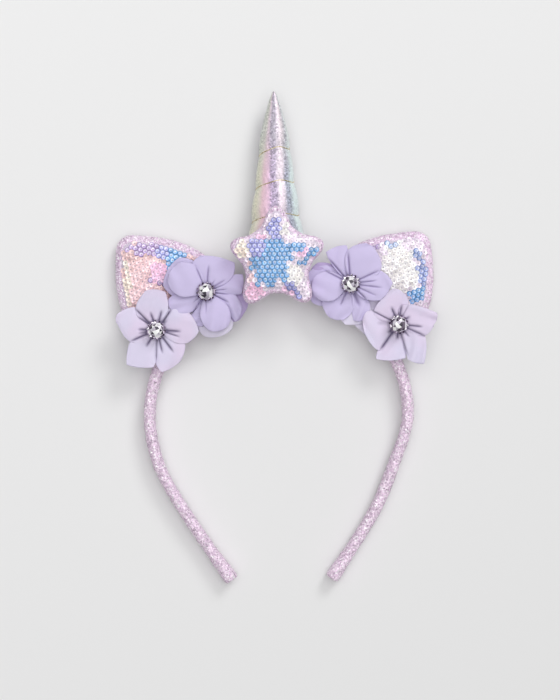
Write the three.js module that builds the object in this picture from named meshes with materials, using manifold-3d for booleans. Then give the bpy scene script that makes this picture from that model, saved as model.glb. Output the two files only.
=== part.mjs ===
// Unicorn horn headband: a padded arch of glitter cloth that carries a stuffed horn, a sequined star,
// two sequined ears and four fabric flowers with set stones. Millimetres, +Z up.
// It lies on its back: +X is to the right as its flowers are looked at, +Y runs from the band's ends
// to the horn's tip, and the flowers face +Z.
import * as THREE from "three";
import { mergeVertices } from "three/addons/utils/BufferGeometryUtils.js";
import Module from "manifold-3d";

const wasm = await Module();
wasm.setup();

// Shared
const SEAT_GAP = 0.3; // clearance between pieces that touch

// Band: a springy strip under padded glitter cloth, bent to an arch with two straighter arms
const ARCH_RADIUS = 62.8; // centre line of the arch
const ARM_DROP = 78.8; // from the arch's centre down to the ends
const BAND_THICK = 5.2; // across the padding, in the arch's plane
const BAND_WIDE = 8; // front to back
const BAND_CORNER = 1.5;
const BAND_STEPS = 40;
const ARCH_SWEEP = 8; // degrees that the round part runs on below the arch's centre
// The arms, as shares of ARCH_RADIUS across and of ARM_DROP down
const ARM_LINE = [
  { across: 0.952, down: 0.227 },
  { across: 0.862, down: 0.417 },
  { across: 0.731, down: 0.608 },
  { across: 0.584, down: 0.792 },
  { across: 0.405, down: 1 },
];

// End wraps: the cloth's folded ends, over the tongue of the strip
const WRAP_LENGTH = 14;
const WRAP_THICK = 6.5;
const WRAP_WIDE = 9;
const WRAP_CORNER = 1.6;
const WRAP_CLOTH = 1.2; // closed cloth past the tongue's tip
const TONGUE_THICK = 3.4;
const TONGUE_WIDE = 6;
const TONGUE_CORNER = 1;
const WRAP_STEPS = 5;

// Felt backings, on the band's front, which carry the flowers and hold the ears' feet
const FELT = 1.2;
const FELT_INSIDE = 5.5; // how far it reaches inside the band's centre line
const FELT_OUTSIDE = 13;
const FELT_FROM = 21; // degrees from the crown
const FELT_TO = 63;
const FELT_SEGMENTS = 7;

// Horn: a stuffed cone that stands on the crown, flattened where it lies
const HORN_LENGTH = 91.7;
const HORN_RADIUS = 14.2;
const HORN_FRONT = 12.2; // depth of the widest section in front of the axis
const HORN_BACK = 9; // and behind it
const HORN_SEGMENTS = 16;
const HORN_RINGS = 27;
const HORN_BELLY = 0.14; // where it touches what it lies on, as a share of its length
const SEAM_PITCH = 16.1; // rise of the wound thread for each turn
const SEAM_START = 0; // height of its first crossing of the front
const SEAM_TURNS = 5;
const SEAM_DEPTH = 0.9;
const SEAM_SPREAD = 2.6;
// Its outline, as shares of HORN_RADIUS and HORN_LENGTH
const HORN_LINE = [
  { radius: 0.84, up: 0 },
  { radius: 0.95, up: 0.03 },
  { radius: 1, up: 0.1 },
  { radius: 0.985, up: 0.18 },
  { radius: 0.937, up: 0.262 },
  { radius: 0.838, up: 0.371 },
  { radius: 0.736, up: 0.48 },
  { radius: 0.637, up: 0.583 },
  { radius: 0.56, up: 0.691 },
  { radius: 0.49, up: 0.763 },
  { radius: 0.345, up: 0.861 },
  { radius: 0.19, up: 0.943 },
  { radius: 0.1, up: 0.982 },
];

// Star: a padded star on the horn's foot
const STAR_REACH = 25.4; // centre to a tip
const STAR_WAIST = 17; // centre to a notch
const STAR_BLUNT = 1.7; // how full the arms are: higher is slimmer
const STAR_THICK = 9.5;
const STAR_RISE = 13.7; // its centre above the crown's centre line
const STAR_SIDE = 0.2;
const STAR_STEPS = 8; // faces along the edge of each arm
// Its arms, clockwise from the top, as shares of STAR_REACH
const STAR_ARMS = [
  { stretch: 1.01 },
  { stretch: 0.94 },
  { stretch: 1.02 },
  { stretch: 1.02 },
  { stretch: 0.93 },
];

// Ears: padded leaves, one on each side, feet against the band
const EAR_HEIGHT = 48;
const EAR_HALF_WIDTH = 26;
const EAR_THICK = 10.4;
const EAR_LOW = 3.4; // how far its middle plane lies behind the band's
const EAR_HEART = 0.42; // the pillow's crown, as a share of the height
const EAR_SEGMENTS = 32;
const EARS = [
  { name: "left", side: -1, splay: 40.8, stretch: 1.045 },
  { name: "right", side: 1, splay: 39.8, stretch: 1 },
];
// Half of an ear's outline from foot to tip, as shares of EAR_HALF_WIDTH and EAR_HEIGHT
const EAR_LINE = [
  { across: 0.8, up: 0.02 },
  { across: 0.94, up: 0.16 },
  { across: 0.98, up: 0.32 },
  { across: 0.885, up: 0.49 },
  { across: 0.775, up: 0.6 },
  { across: 0.635, up: 0.71 },
  { across: 0.47, up: 0.81 },
  { across: 0.27, up: 0.92 },
  { across: 0.1, up: 0.985 },
];
const EAR_FOOT = [0.4, 0, -0.4]; // places across the foot, which follows the band

// Padding: the domed section that star and ears share, as shares of the reach and half thickness
const PAD_RIM = 1.2; // half thickness of the sewn edge
const DOME = [
  { out: 0, full: 1 },
  { out: 0.42, full: 0.92 },
  { out: 0.72, full: 0.63 },
  { out: 0.91, full: 0.25 },
  { out: 1, full: 0 },
];

// Sequin panels: the net cloth on the fronts of star and ears, inside the glitter edging
const PANEL_CLOTH = 1;
const PANEL_SHARE = 0.86; // how far it reaches out towards the edge

// Flowers: each sits at a splay from the crown and a distance outside the band's centre line
const PETAL_CLOTH = 1;
const PETAL_ACROSS = 4; // faces across a petal
const PETAL_ALONG = 4;
const HEART_RADIUS = 5; // the gathered middle
const HEART_SEGMENTS = 12;
const CHIFFON_REACH = 20.6;
const CHIFFON_HALF_WIDTH = 9.8;
const CHIFFON_RISE = 0.7; // how far the back layer's rim stands up
const DISC_REACH = 19.6; // the smaller front layer
const DISC_HALF_WIDTH = 8.3;
const DISC_RISE = 3.8;
const RIBBON_REACH = 20;
const RIBBON_HALF_WIDTH = 8;
const RIBBON_RISE = 1;
const RIBBON_STAND = 2.4; // height of its gathered knot below the petals
const PLEAT = 0.45; // depth of a petal's folds
const TWIST = 0.35; // each petal's one side lies under its neighbour
const PETAL_BOW = 0.09; // how much shorter a petal is along its sides
const PETAL_LEVEL = 0.8; // where along a petal its rise ends
// Their petals: turn in degrees from +X, and shares of the reach and half width
const INNER_FLOWERS = [
  {
    name: "left", side: -1, splay: 29.5, outward: 7.8,
    back: [
      { turn: 152, stretch: 0.97, full: 1 },
      { turn: 72, stretch: 0.92, full: 1.15 },
      { turn: 12, stretch: 0.9, full: 0.85 },
      { turn: 322, stretch: 1, full: 0.95 },
      { turn: 284, stretch: 1.12, full: 1.05 },
      { turn: 206, stretch: 0.93, full: 0.9 },
    ],
    front: [
      { turn: 151, stretch: 1, full: 1 },
      { turn: 66, stretch: 0.94, full: 1.1 },
      { turn: 8, stretch: 0.9, full: 0.8 },
      { turn: 288, stretch: 1.04, full: 0.97 },
    ],
  },
  {
    name: "right", side: 1, splay: 29.2, outward: 10.2,
    back: [
      { turn: 184, stretch: 1, full: 1 },
      { turn: 121, stretch: 1.03, full: 0.95 },
      { turn: 60, stretch: 1.1, full: 1 },
      { turn: 352, stretch: 0.96, full: 0.85 },
      { turn: 290, stretch: 1, full: 0.85 },
      { turn: 248, stretch: 1.02, full: 0.95 },
    ],
    front: [
      { turn: 187, stretch: 0.98, full: 0.95 },
      { turn: 122, stretch: 0.98, full: 0.95 },
      { turn: 59, stretch: 1.02, full: 1.1 },
      { turn: 353, stretch: 1, full: 0.95 },
    ],
  },
];
const OUTER_FLOWERS = [
  {
    name: "left", side: -1, splay: 54.5, outward: 10,
    petals: [
      { turn: 98, stretch: 1.07, full: 0.93 },
      { turn: 166, stretch: 1, full: 0.97 },
      { turn: 244, stretch: 1, full: 0.95 },
      { turn: 300, stretch: 0.97, full: 0.95 },
      { turn: 8, stretch: 0.98, full: 1 },
    ],
  },
  {
    name: "right", side: 1, splay: 53.4, outward: 10.8,
    petals: [
      { turn: 100, stretch: 0.9, full: 0.95 },
      { turn: 22, stretch: 0.97, full: 0.92 },
      { turn: 304, stretch: 1.08, full: 0.85 },
      { turn: 254, stretch: 0.93, full: 0.92 },
      { turn: 184, stretch: 0.85, full: 1.15 },
    ],
  },
];
// Petal outlines from heart to tip, as shares of the reach and half width
const ROUND_PETAL = [
  { along: 0.06, wide: 0.3 },
  { along: 0.32, wide: 0.74 },
  { along: 0.6, wide: 1 },
  { along: 0.87, wide: 0.8 },
  { along: 1, wide: 0.3 },
];
const SQUARE_PETAL = [
  { along: 0.06, wide: 0.3 },
  { along: 0.32, wide: 0.62 },
  { along: 0.6, wide: 0.94 },
  { along: 0.86, wide: 1 },
  { along: 1, wide: 0.78 },
];

// Stones: round brilliants, each in a clawed cup
const STONE_RADIUS = 3.7;
const STONE_TABLE = 2.1;
const STONE_CROWN = 1.5;
const STONE_GIRDLE = 0.3;
const STONE_PAVILION = 1.7;
const STONE_SIDES = 10;
const CUP_FLOOR = 0.7;
const CUP_WALL = 0.75;
const CUP_LIP = 1.7; // height of the cup's wall
const CUP_SIDES = 12;
const CLAWS = 6;
const CLAW = 0.9;
const CLAW_TOP = 3.4;

// Finishes
const finish = (color, roughness, metalness = 0) =>
  new THREE.MeshStandardMaterial({ color, roughness, metalness, flatShading: true });
const glitterCloth = finish(0xd9bfd8, 0.55, 0.2);
const glitterEdge = finish(0xdcc0da, 0.5, 0.2);
const lilacFelt = finish(0xdcd2e2, 0.9);
const silverFoil = finish(0xc9c6cc, 0.3, 0.7);
const sequinNet = finish(0xe6c9d6, 0.3, 0.4);
const chiffon = finish(0xc3b6e0, 0.8);
const ribbon = finish(0xcfc6e4, 0.6);
const stone = finish(0xb9aebf, 0.05);
const plated = finish(0x9a929c, 0.25, 1);

const degrees = THREE.MathUtils.degToRad;

// A closed geometry as a solid that can be joined and cut.
function solid(geometry) {
  const bare = geometry.clone();
  bare.deleteAttribute("normal");
  bare.deleteAttribute("uv");
  const merged = mergeVertices(bare, 1e-4);
  return new wasm.Manifold(new wasm.Mesh({
    numProp: 3,
    vertProperties: new Float32Array(merged.attributes.position.array),
    triVerts: new Uint32Array(merged.index.array),
  }));
}

// And back to a geometry.
function geometryOf(body) {
  const made = body.getMesh();
  const geometry = new THREE.BufferGeometry();
  geometry.setAttribute("position", new THREE.BufferAttribute(made.vertProperties, 3));
  geometry.setIndex(new THREE.BufferAttribute(made.triVerts, 1));
  geometry.computeVertexNormals();
  return geometry;
}

function piece(name, geometry, material, parent) {
  const mesh = new THREE.Mesh(geometry, material);
  mesh.name = name;
  parent.add(mesh);
  return mesh;
}

// Moves each vertex of a geometry to where place(x, y, z) says.
function form(geometry, place) {
  const at = geometry.attributes.position;
  for (let i = 0; i < at.count; i += 1) {
    const to = place(at.getX(i), at.getY(i), at.getZ(i), i);
    at.setXYZ(i, to.x, to.y, to.z);
  }
  return geometry;
}

// The value of one column of a table at a place along another, between its rows.
function between(rows, column, at, value) {
  const last = rows.length - 1;
  if (value <= rows[0][at]) return rows[0][column];
  if (value >= rows[last][at]) return rows[last][column];
  const next = rows.findIndex((row) => row[at] > value);
  const a = rows[next - 1];
  const b = rows[next];
  const share = (value - a[at]) / (b[at] - a[at]);
  return THREE.MathUtils.lerp(a[column], b[column], share);
}

// The band's centre line, from the left end over the crown to the right end.
function bandLine() {
  const right = [];
  for (let turn = 75; turn > -ARCH_SWEEP; turn -= 15) {
    const a = degrees(turn);
    right.push(new THREE.Vector3(ARCH_RADIUS * Math.cos(a), ARCH_RADIUS * Math.sin(a), 0));
  }
  for (const row of ARM_LINE) {
    right.push(new THREE.Vector3(ARCH_RADIUS * row.across, -ARM_DROP * row.down, 0));
  }
  const left = right.map((p) => new THREE.Vector3(-p.x, p.y, 0)).reverse();
  const crown = new THREE.Vector3(0, ARCH_RADIUS, 0);
  return new THREE.CatmullRomCurve3([...left, crown, ...right], false, "centripetal");
}

// A rounded rectangle, deep along the extrusion's normal and thick along its binormal.
function roundedSection(deep, thick, corner) {
  const x = deep / 2 - corner;
  const y = thick / 2 - corner;
  const shape = new THREE.Shape();
  shape.absarc(x, y, corner, 0, Math.PI / 2, false);
  shape.absarc(-x, y, corner, Math.PI / 2, Math.PI, false);
  shape.absarc(-x, -y, corner, Math.PI, 1.5 * Math.PI, false);
  shape.absarc(x, -y, corner, 1.5 * Math.PI, 2 * Math.PI, false);
  return shape;
}

// A stretch of the band's line with a section swept along it, from one length to another.
function sweep(line, from, to, section, steps) {
  const whole = line.getLength();
  const points = [];
  for (let i = 0; i <= steps; i += 1) {
    const at = THREE.MathUtils.lerp(from, to, i / steps);
    points.push(line.getPointAt(THREE.MathUtils.clamp(at / whole, 0, 1)));
  }
  const path = new THREE.CatmullRomCurve3(points, false, "centripetal");
  return solid(new THREE.ExtrudeGeometry(section, { steps, extrudePath: path, curveSegments: 1 }));
}

function band(parent) {
  const line = bandLine();
  const whole = line.getLength();
  const tongueEnd = WRAP_CLOTH + SEAT_GAP;
  const padded = sweep(
    line, WRAP_LENGTH + SEAT_GAP, whole - WRAP_LENGTH - SEAT_GAP,
    roundedSection(BAND_WIDE, BAND_THICK, BAND_CORNER), BAND_STEPS,
  );
  const tongue = roundedSection(TONGUE_WIDE, TONGUE_THICK, TONGUE_CORNER);
  const room = roundedSection(
    TONGUE_WIDE + 2 * SEAT_GAP, TONGUE_THICK + 2 * SEAT_GAP, TONGUE_CORNER + SEAT_GAP,
  );
  const wrap = roundedSection(WRAP_WIDE, WRAP_THICK, WRAP_CORNER);
  const rooted = WRAP_LENGTH + BAND_THICK; // the tongues start inside the padded part
  const strip = padded
    .add(sweep(line, tongueEnd, rooted, tongue, WRAP_STEPS))
    .add(sweep(line, whole - rooted, whole - tongueEnd, tongue, WRAP_STEPS));
  piece("band", geometryOf(strip), glitterCloth, parent);
  const left = sweep(line, 0, WRAP_LENGTH, wrap, WRAP_STEPS)
    .subtract(sweep(line, WRAP_CLOTH, rooted, room, WRAP_STEPS));
  const right = sweep(line, whole - WRAP_LENGTH, whole, wrap, WRAP_STEPS)
    .subtract(sweep(line, whole - rooted, whole - WRAP_CLOTH, room, WRAP_STEPS));
  piece("end_wrap_left", geometryOf(left), glitterCloth, parent);
  piece("end_wrap_right", geometryOf(right), glitterCloth, parent);
}

function backings(parent) {
  for (const { name, side } of EARS) {
    const from = Math.PI / 2 - side * degrees(FELT_FROM);
    const to = Math.PI / 2 - side * degrees(FELT_TO);
    const shape = new THREE.Shape();
    shape.absarc(0, 0, ARCH_RADIUS + FELT_OUTSIDE, from, to, side > 0);
    shape.absarc(0, 0, ARCH_RADIUS - FELT_INSIDE, to, from, side < 0);
    const strip = new THREE.ExtrudeGeometry(shape, {
      depth: FELT, bevelEnabled: false, curveSegments: FELT_SEGMENTS,
    });
    const mesh = piece("backing_" + name, strip, lilacFelt, parent);
    mesh.position.z = BAND_WIDE / 2 + SEAT_GAP;
  }
}

// How far a point of the horn lies from the wound thread, along the axis.
function seamDistance(around, up) {
  const turns = (up - SEAM_START) / SEAM_PITCH - around / (2 * Math.PI);
  const nearest = THREE.MathUtils.clamp(Math.round(turns), 0, SEAM_TURNS - 1);
  return (turns - nearest) * SEAM_PITCH;
}

function horn(parent) {
  const rows = [];
  for (let i = 0; i < HORN_RINGS; i += 1) {
    const up = i / HORN_RINGS;
    rows.push(new THREE.Vector2(between(HORN_LINE, "radius", "up", up) * HORN_RADIUS, up * HORN_LENGTH));
  }
  rows.unshift(new THREE.Vector2(0, 0));
  rows.push(new THREE.Vector2(0, HORN_LENGTH));
  const cone = form(new THREE.LatheGeometry(rows, HORN_SEGMENTS), (x, y, z) => {
    const away = seamDistance(Math.atan2(x, z), y);
    const inside = y > 0 && y < HORN_LENGTH;
    const pull = inside ? SEAM_DEPTH * Math.exp(-((away / SEAM_SPREAD) ** 2)) : 0;
    const radius = Math.hypot(x, z);
    const share = radius > 0 ? (radius - pull * (radius / HORN_RADIUS)) / radius : 1;
    const depth = (z > 0 ? HORN_FRONT : HORN_BACK) / HORN_RADIUS;
    return { x: x * share, y, z: z * share * depth };
  });
  const mesh = piece("horn", cone, silverFoil, parent);
  mesh.position.y = ARCH_RADIUS + BAND_THICK / 2 + SEAT_GAP;
}

// The star's outline, as a closed curve about its own centre.
function starLine() {
  const points = [];
  STAR_ARMS.forEach((arm, number) => {
    for (let i = 0; i < STAR_STEPS; i += 1) {
      const off = i / STAR_STEPS - 0.5; // from one notch to the next, the tip at the middle
      const turn = (2 * Math.PI * (number + off)) / STAR_ARMS.length;
      const share = (0.5 + 0.5 * Math.cos(2 * Math.PI * off)) ** STAR_BLUNT;
      const reach = THREE.MathUtils.lerp(STAR_WAIST, STAR_REACH * arm.stretch, share);
      points.push(new THREE.Vector2(reach * Math.sin(turn), reach * Math.cos(turn)));
    }
  });
  return points;
}

// An ear's outline about its heart, with a foot that follows the band's outer edge.
function earLine(stretch) {
  const footRadius = ARCH_RADIUS + BAND_THICK / 2;
  const foot = EAR_FOOT.map((across) => {
    const x = across * EAR_HALF_WIDTH;
    return new THREE.Vector3(x, Math.sqrt(footRadius ** 2 - x ** 2) - footRadius, 0);
  });
  const leaf = (side) => EAR_LINE.map((row) =>
    new THREE.Vector3(side * row.across * EAR_HALF_WIDTH, row.up * EAR_HEIGHT * stretch, 0));
  const closed = new THREE.CatmullRomCurve3(
    [...foot, ...leaf(-1), ...leaf(1).reverse()], true, "centripetal",
  );
  const heart = EAR_HEART * EAR_HEIGHT * stretch;
  return closed.getSpacedPoints(EAR_SEGMENTS).slice(0, EAR_SEGMENTS)
    .map((p) => new THREE.Vector2(p.x, p.y - heart));
}

// A body of rings drawn out to an outline: each row says how far out it lies and how high.
function drawnOut(rows, outline) {
  const profile = rows.map((row) => new THREE.Vector2(row.out, row.high));
  const turned = new THREE.LatheGeometry(profile, outline.length);
  return form(turned, (x, y, z, i) => {
    const edge = outline[Math.floor(i / rows.length) % outline.length];
    const row = rows[i % rows.length];
    return { x: edge.x * row.out, y: edge.y * row.out, z: row.high };
  });
}

function pillow(outline, thick) {
  const half = thick / 2;
  const high = (row) => PAD_RIM + (half - PAD_RIM) * row.full;
  const front = DOME.map((row) => ({ out: row.out, high: high(row) }));
  const back = DOME.map((row) => ({ out: row.out, high: -high(row) })).reverse();
  return drawnOut([...front, ...back], outline);
}

function panel(outline, thick) {
  const half = thick / 2;
  const rows = DOME.filter((row) => row.out < PANEL_SHARE)
    .concat({ out: PANEL_SHARE, full: between(DOME, "full", "out", PANEL_SHARE) });
  const under = (row) => PAD_RIM + (half - PAD_RIM) * row.full + SEAT_GAP;
  const above = rows.map((row) => ({ out: row.out, high: under(row) + PANEL_CLOTH }));
  const below = rows.map((row) => ({ out: row.out, high: under(row) })).reverse();
  return drawnOut([...above, ...below], outline);
}

function star(parent) {
  const place = new THREE.Group();
  const hornFront = HORN_FRONT + SEAT_GAP;
  place.position.set(STAR_SIDE, ARCH_RADIUS + STAR_RISE, hornFront + STAR_THICK / 2);
  parent.add(place);
  const outline = starLine();
  piece("star", pillow(outline, STAR_THICK), glitterEdge, place);
  piece("star_panel", panel(outline, STAR_THICK), sequinNet, place);
}

function ears(parent) {
  for (const { name, side, splay, stretch } of EARS) {
    const turn = new THREE.Group();
    turn.rotation.z = -side * degrees(splay);
    parent.add(turn);
    const place = new THREE.Group();
    const foot = ARCH_RADIUS + BAND_THICK / 2 + SEAT_GAP;
    place.position.set(0, foot + EAR_HEART * EAR_HEIGHT * stretch, -EAR_LOW);
    turn.add(place);
    const outline = earLine(stretch);
    piece("ear_" + name, pillow(outline, EAR_THICK), glitterEdge, place);
    piece("ear_panel_" + name, panel(outline, EAR_THICK), sequinNet, place);
  }
}

// One petal: a slab of cloth, drawn to an outline, pleated at the heart and raised to its rim.
function petal(rows, reach, halfWidth, rise, turn) {
  const slab = new THREE.BoxGeometry(2, 1, 1, PETAL_ACROSS, PETAL_ALONG, 1);
  form(slab, (x, y, z) => {
    const row = rows[Math.round((y + 0.5) * PETAL_ALONG)];
    const out = row.along * reach;
    const fold = PLEAT * Math.cos(2 * Math.PI * x) * (1 - row.along);
    const lift = rise * THREE.MathUtils.smoothstep(row.along, 0, PETAL_LEVEL);
    const bow = 1 - PETAL_BOW * x * x * row.wide;
    const high = (z + 0.5) * PETAL_CLOTH + PLEAT + lift + fold + TWIST * x * row.along;
    return { x: x * row.wide * halfWidth, y: out * bow, z: high };
  });
  return solid(slab.rotateZ(turn - Math.PI / 2));
}

// Petals at their turns, held together by the gathered heart.
function layer(rows, reach, halfWidth, rise, petals, heartHigh) {
  const heart = new THREE.CylinderGeometry(HEART_RADIUS, HEART_RADIUS, heartHigh, HEART_SEGMENTS);
  heart.rotateX(Math.PI / 2).translate(0, 0, heartHigh / 2);
  return petals.reduce((whole, { turn, stretch, full }) =>
    whole.add(petal(rows, reach * stretch, halfWidth * full, rise, degrees(turn))), solid(heart));
}

// A round brilliant with its pavilion down, standing on z = 0.
function brilliant() {
  const girdle = STONE_PAVILION + STONE_GIRDLE;
  const profile = [
    [0, 0],
    [STONE_RADIUS, STONE_PAVILION],
    [STONE_RADIUS, girdle],
    [STONE_TABLE, girdle + STONE_CROWN],
    [0, girdle + STONE_CROWN],
  ].map(([x, y]) => new THREE.Vector2(x, y));
  return new THREE.LatheGeometry(profile, STONE_SIDES).rotateX(Math.PI / 2);
}

// The clawed cup that holds a brilliant.
function cup() {
  const inside = STONE_RADIUS + SEAT_GAP;
  const outside = inside + CUP_WALL;
  const profile = [
    [0, 0],
    [outside, 0],
    [outside, CUP_LIP],
    [inside, CUP_LIP],
    [inside, CUP_FLOOR],
    [0, CUP_FLOOR],
  ].map(([x, y]) => new THREE.Vector2(x, y));
  let whole = solid(new THREE.LatheGeometry(profile, CUP_SIDES).rotateX(Math.PI / 2));
  for (let i = 0; i < CLAWS; i += 1) {
    const claw = new THREE.BoxGeometry(CLAW, CLAW, CLAW_TOP - CUP_FLOOR);
    claw.translate(inside + CUP_WALL / 2 + CLAW / 6, 0, (CLAW_TOP + CUP_FLOOR) / 2);
    claw.rotateZ((2 * Math.PI * i) / CLAWS);
    whole = whole.add(solid(claw));
  }
  return geometryOf(whole);
}

function jewel(name, high, place) {
  const setting = piece("setting_" + name, cup(), plated, place);
  setting.position.z = high;
  const gem = piece("stone_" + name, brilliant(), stone, place);
  gem.position.z = high + CUP_FLOOR + SEAT_GAP;
}

// The group at a flower's seat on the felt, unturned so that petals keep their own turns.
function flowerPlace({ side, splay, outward }, parent) {
  const place = new THREE.Group();
  const reach = ARCH_RADIUS + outward;
  const a = degrees(splay);
  const seat = BAND_WIDE / 2 + SEAT_GAP + FELT + SEAT_GAP;
  place.position.set(side * reach * Math.sin(a), reach * Math.cos(a), seat);
  parent.add(place);
  return place;
}

function innerFlowers(parent) {
  const heart = PETAL_CLOTH + 2 * PLEAT;
  for (const flower of INNER_FLOWERS) {
    const place = flowerPlace(flower, parent);
    const back = layer(
      ROUND_PETAL, CHIFFON_REACH, CHIFFON_HALF_WIDTH, CHIFFON_RISE, flower.back, heart,
    );
    piece("flower_inner_" + flower.name + "_back", geometryOf(back), chiffon, place);
    const front = layer(
      ROUND_PETAL, DISC_REACH, DISC_HALF_WIDTH, DISC_RISE, flower.front, heart + PLEAT,
    );
    const mesh = piece("flower_inner_" + flower.name + "_front", geometryOf(front), chiffon, place);
    mesh.position.z = heart + PLEAT + SEAT_GAP;
    jewel("inner_" + flower.name, mesh.position.z + heart + 2 * PLEAT + SEAT_GAP, place);
  }
}

function outerFlowers(parent) {
  const heart = PETAL_CLOTH + 2 * PLEAT;
  for (const flower of OUTER_FLOWERS) {
    const place = flowerPlace(flower, parent);
    const petals = layer(
      SQUARE_PETAL, RIBBON_REACH, RIBBON_HALF_WIDTH, RIBBON_RISE, flower.petals, heart + PLEAT,
    );
    const knot = new THREE.CylinderGeometry(HEART_RADIUS, HEART_RADIUS, RIBBON_STAND + PLEAT, HEART_SEGMENTS);
    knot.rotateX(Math.PI / 2).translate(0, 0, (PLEAT - RIBBON_STAND) / 2);
    const mesh = piece(
      "flower_outer_" + flower.name, geometryOf(petals.add(solid(knot))), ribbon, place,
    );
    mesh.position.z = RIBBON_STAND;
    jewel("outer_" + flower.name, RIBBON_STAND + heart + 2 * PLEAT + SEAT_GAP, place);
  }
}

// Everything stands in the arch's own plane, which leans as the part lies on its back:
// it rests on the two end wraps and on the horn's foot.
const headband = new THREE.Group();
band(headband);
backings(headband);
horn(headband);
star(headband);
ears(headband);
innerFlowers(headband);
outerFlowers(headband);

const hornFoot = ARCH_RADIUS + BAND_THICK / 2 + SEAT_GAP + HORN_BELLY * HORN_LENGTH;
headband.rotation.x = Math.atan2(HORN_BACK - WRAP_WIDE / 2, hornFoot + ARM_DROP);

// The origin is below the middle of the whole, on the surface it lies on.
const group = new THREE.Group();
group.add(headband);
group.updateMatrixWorld(true);
const around = new THREE.Box3().setFromObject(headband, true);
const middle = around.getCenter(new THREE.Vector3());
headband.position.set(-middle.x, -middle.y, -around.min.z);

export default group;
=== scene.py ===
import math
import random

import bpy
from mathutils import Matrix, Vector
from mathutils.bvhtree import BVHTree


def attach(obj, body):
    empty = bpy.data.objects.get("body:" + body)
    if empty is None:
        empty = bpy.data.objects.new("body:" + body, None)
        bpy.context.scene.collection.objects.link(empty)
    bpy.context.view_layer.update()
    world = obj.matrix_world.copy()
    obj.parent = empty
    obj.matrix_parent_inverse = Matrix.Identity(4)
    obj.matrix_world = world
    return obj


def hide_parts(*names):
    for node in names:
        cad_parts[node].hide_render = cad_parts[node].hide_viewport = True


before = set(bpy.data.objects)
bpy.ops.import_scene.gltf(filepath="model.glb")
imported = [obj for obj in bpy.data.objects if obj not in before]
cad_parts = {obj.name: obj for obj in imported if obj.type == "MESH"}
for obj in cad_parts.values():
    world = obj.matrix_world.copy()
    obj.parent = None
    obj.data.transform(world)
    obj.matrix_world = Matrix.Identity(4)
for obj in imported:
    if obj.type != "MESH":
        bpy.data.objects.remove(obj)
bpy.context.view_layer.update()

# Backdrop, light and camera
# The headband lies on a wide sheet of pale card, with a painted light falloff: its colour is painted a
# little lighter towards its upper left. One broad lamp stands to the upper right, the room around it is
# white, and the camera looks straight down.
CARD_PAINTED_LIT = (0.845, 0.845, 0.845, 1)
CARD_PAINTED_DIM = (0.745, 0.745, 0.745, 1)
CAMERA_HIGH = 1.404
CAMERA_OVER = (0.0015, -0.0062)
CAMERA_TURN = -0.95
FRAME_HIGH = 0.3409
LAMP_TOWARDS = Vector((0.43, 0.61, 0.666))
LAMP_FAR = 2.4
LAMP_WIDE = 0.95
LAMP_WATTS = 17
ROOM = 0.74
ROOM_TOWARDS = (0.05, 0.08, 0.995)


def finish(name, rough, metal=0.0):
    """A new material with its shader node, ready for its pattern."""
    made = bpy.data.materials.new(name)
    made.use_nodes = True
    shader = made.node_tree.nodes["Principled BSDF"]
    shader.inputs["Roughness"].default_value = rough
    shader.inputs["Metallic"].default_value = metal
    return made, shader


def node(material, kind, props=None, **plugs):
    """One more node of a material. Each plug is a plain value or another node to take it from."""
    made = material.node_tree.nodes.new("ShaderNode" + kind)
    for name, value in (props or {}).items():
        setattr(made, name, value)
    for name, value in plugs.items():
        plug(material, made, name.replace("_", " "), value)
    return made


def plug(material, made, name, value):
    """Sets one socket of a node, or joins it to the socket or node that value is."""
    socket = next(s for s in made.inputs if s.name == name and s.enabled)
    if isinstance(value, bpy.types.Node):
        value = next(s for s in value.outputs if s.enabled)
    if isinstance(value, bpy.types.NodeSocket):
        material.node_tree.links.new(value, socket)
    else:
        socket.default_value = value


def steps(material, factor, rows, hard=False):
    """A colour ramp: each row is a place from 0 to 1 and its colour."""
    made = node(material, "ValToRGB", Fac=factor)
    ramp = made.color_ramp
    ramp.interpolation = "CONSTANT" if hard else "LINEAR"
    while len(ramp.elements) < len(rows):
        ramp.elements.new(1)
    for element, (place, colour) in zip(ramp.elements, rows):
        element.position = place
        element.color = (*colour, 1)
    return made


def wear(piece, material):
    """Gives a piece its one material."""
    piece.data.materials.clear()
    piece.data.materials.append(material)


bpy.ops.object.select_all(action="DESELECT")
bpy.ops.mesh.primitive_plane_add(size=5, location=(0, 0, 0))
card = bpy.context.object
card.name = "card"
card_white, card_shader = finish("card_white", 0.85)
card_place = node(card_white, "TexCoord")
card_split = node(card_white, "SeparateXYZ", Vector=card_place.outputs["Object"])
card_slope = node(card_white, "Math", {"operation": "SUBTRACT"})
card_white.node_tree.links.new(card_split.outputs["Y"], card_slope.inputs[0])
card_white.node_tree.links.new(card_split.outputs["X"], card_slope.inputs[1])
card_falloff_share = node(card_white, "MapRange", Value=card_slope, From_Min=-0.34, From_Max=0.34)
# painted light falloff: the card's colour runs from dim at the lower right to lit at the upper left
card_painted_falloff = steps(card_white, card_falloff_share, [(0, CARD_PAINTED_DIM[:3]), (1, CARD_PAINTED_LIT[:3])])
card_grain = node(card_white, "TexNoise", Vector=card_place.outputs["Object"], Scale=900, Detail=4)
card_bump = node(card_white, "Bump", Height=card_grain, Strength=0.04, Distance=0.0002)
plug(card_white, card_shader, "Base Color", card_painted_falloff)
plug(card_white, card_shader, "Normal", card_bump)
wear(card, card_white)

bpy.ops.object.light_add(type="AREA", location=LAMP_TOWARDS * LAMP_FAR)
lamp = bpy.context.object
lamp.name = "lamp"
lamp.rotation_euler = LAMP_TOWARDS.to_track_quat("Z", "Y").to_euler()
lamp.data.shape = "DISK"
lamp.data.size = LAMP_WIDE
lamp.data.energy = LAMP_WATTS

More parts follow.
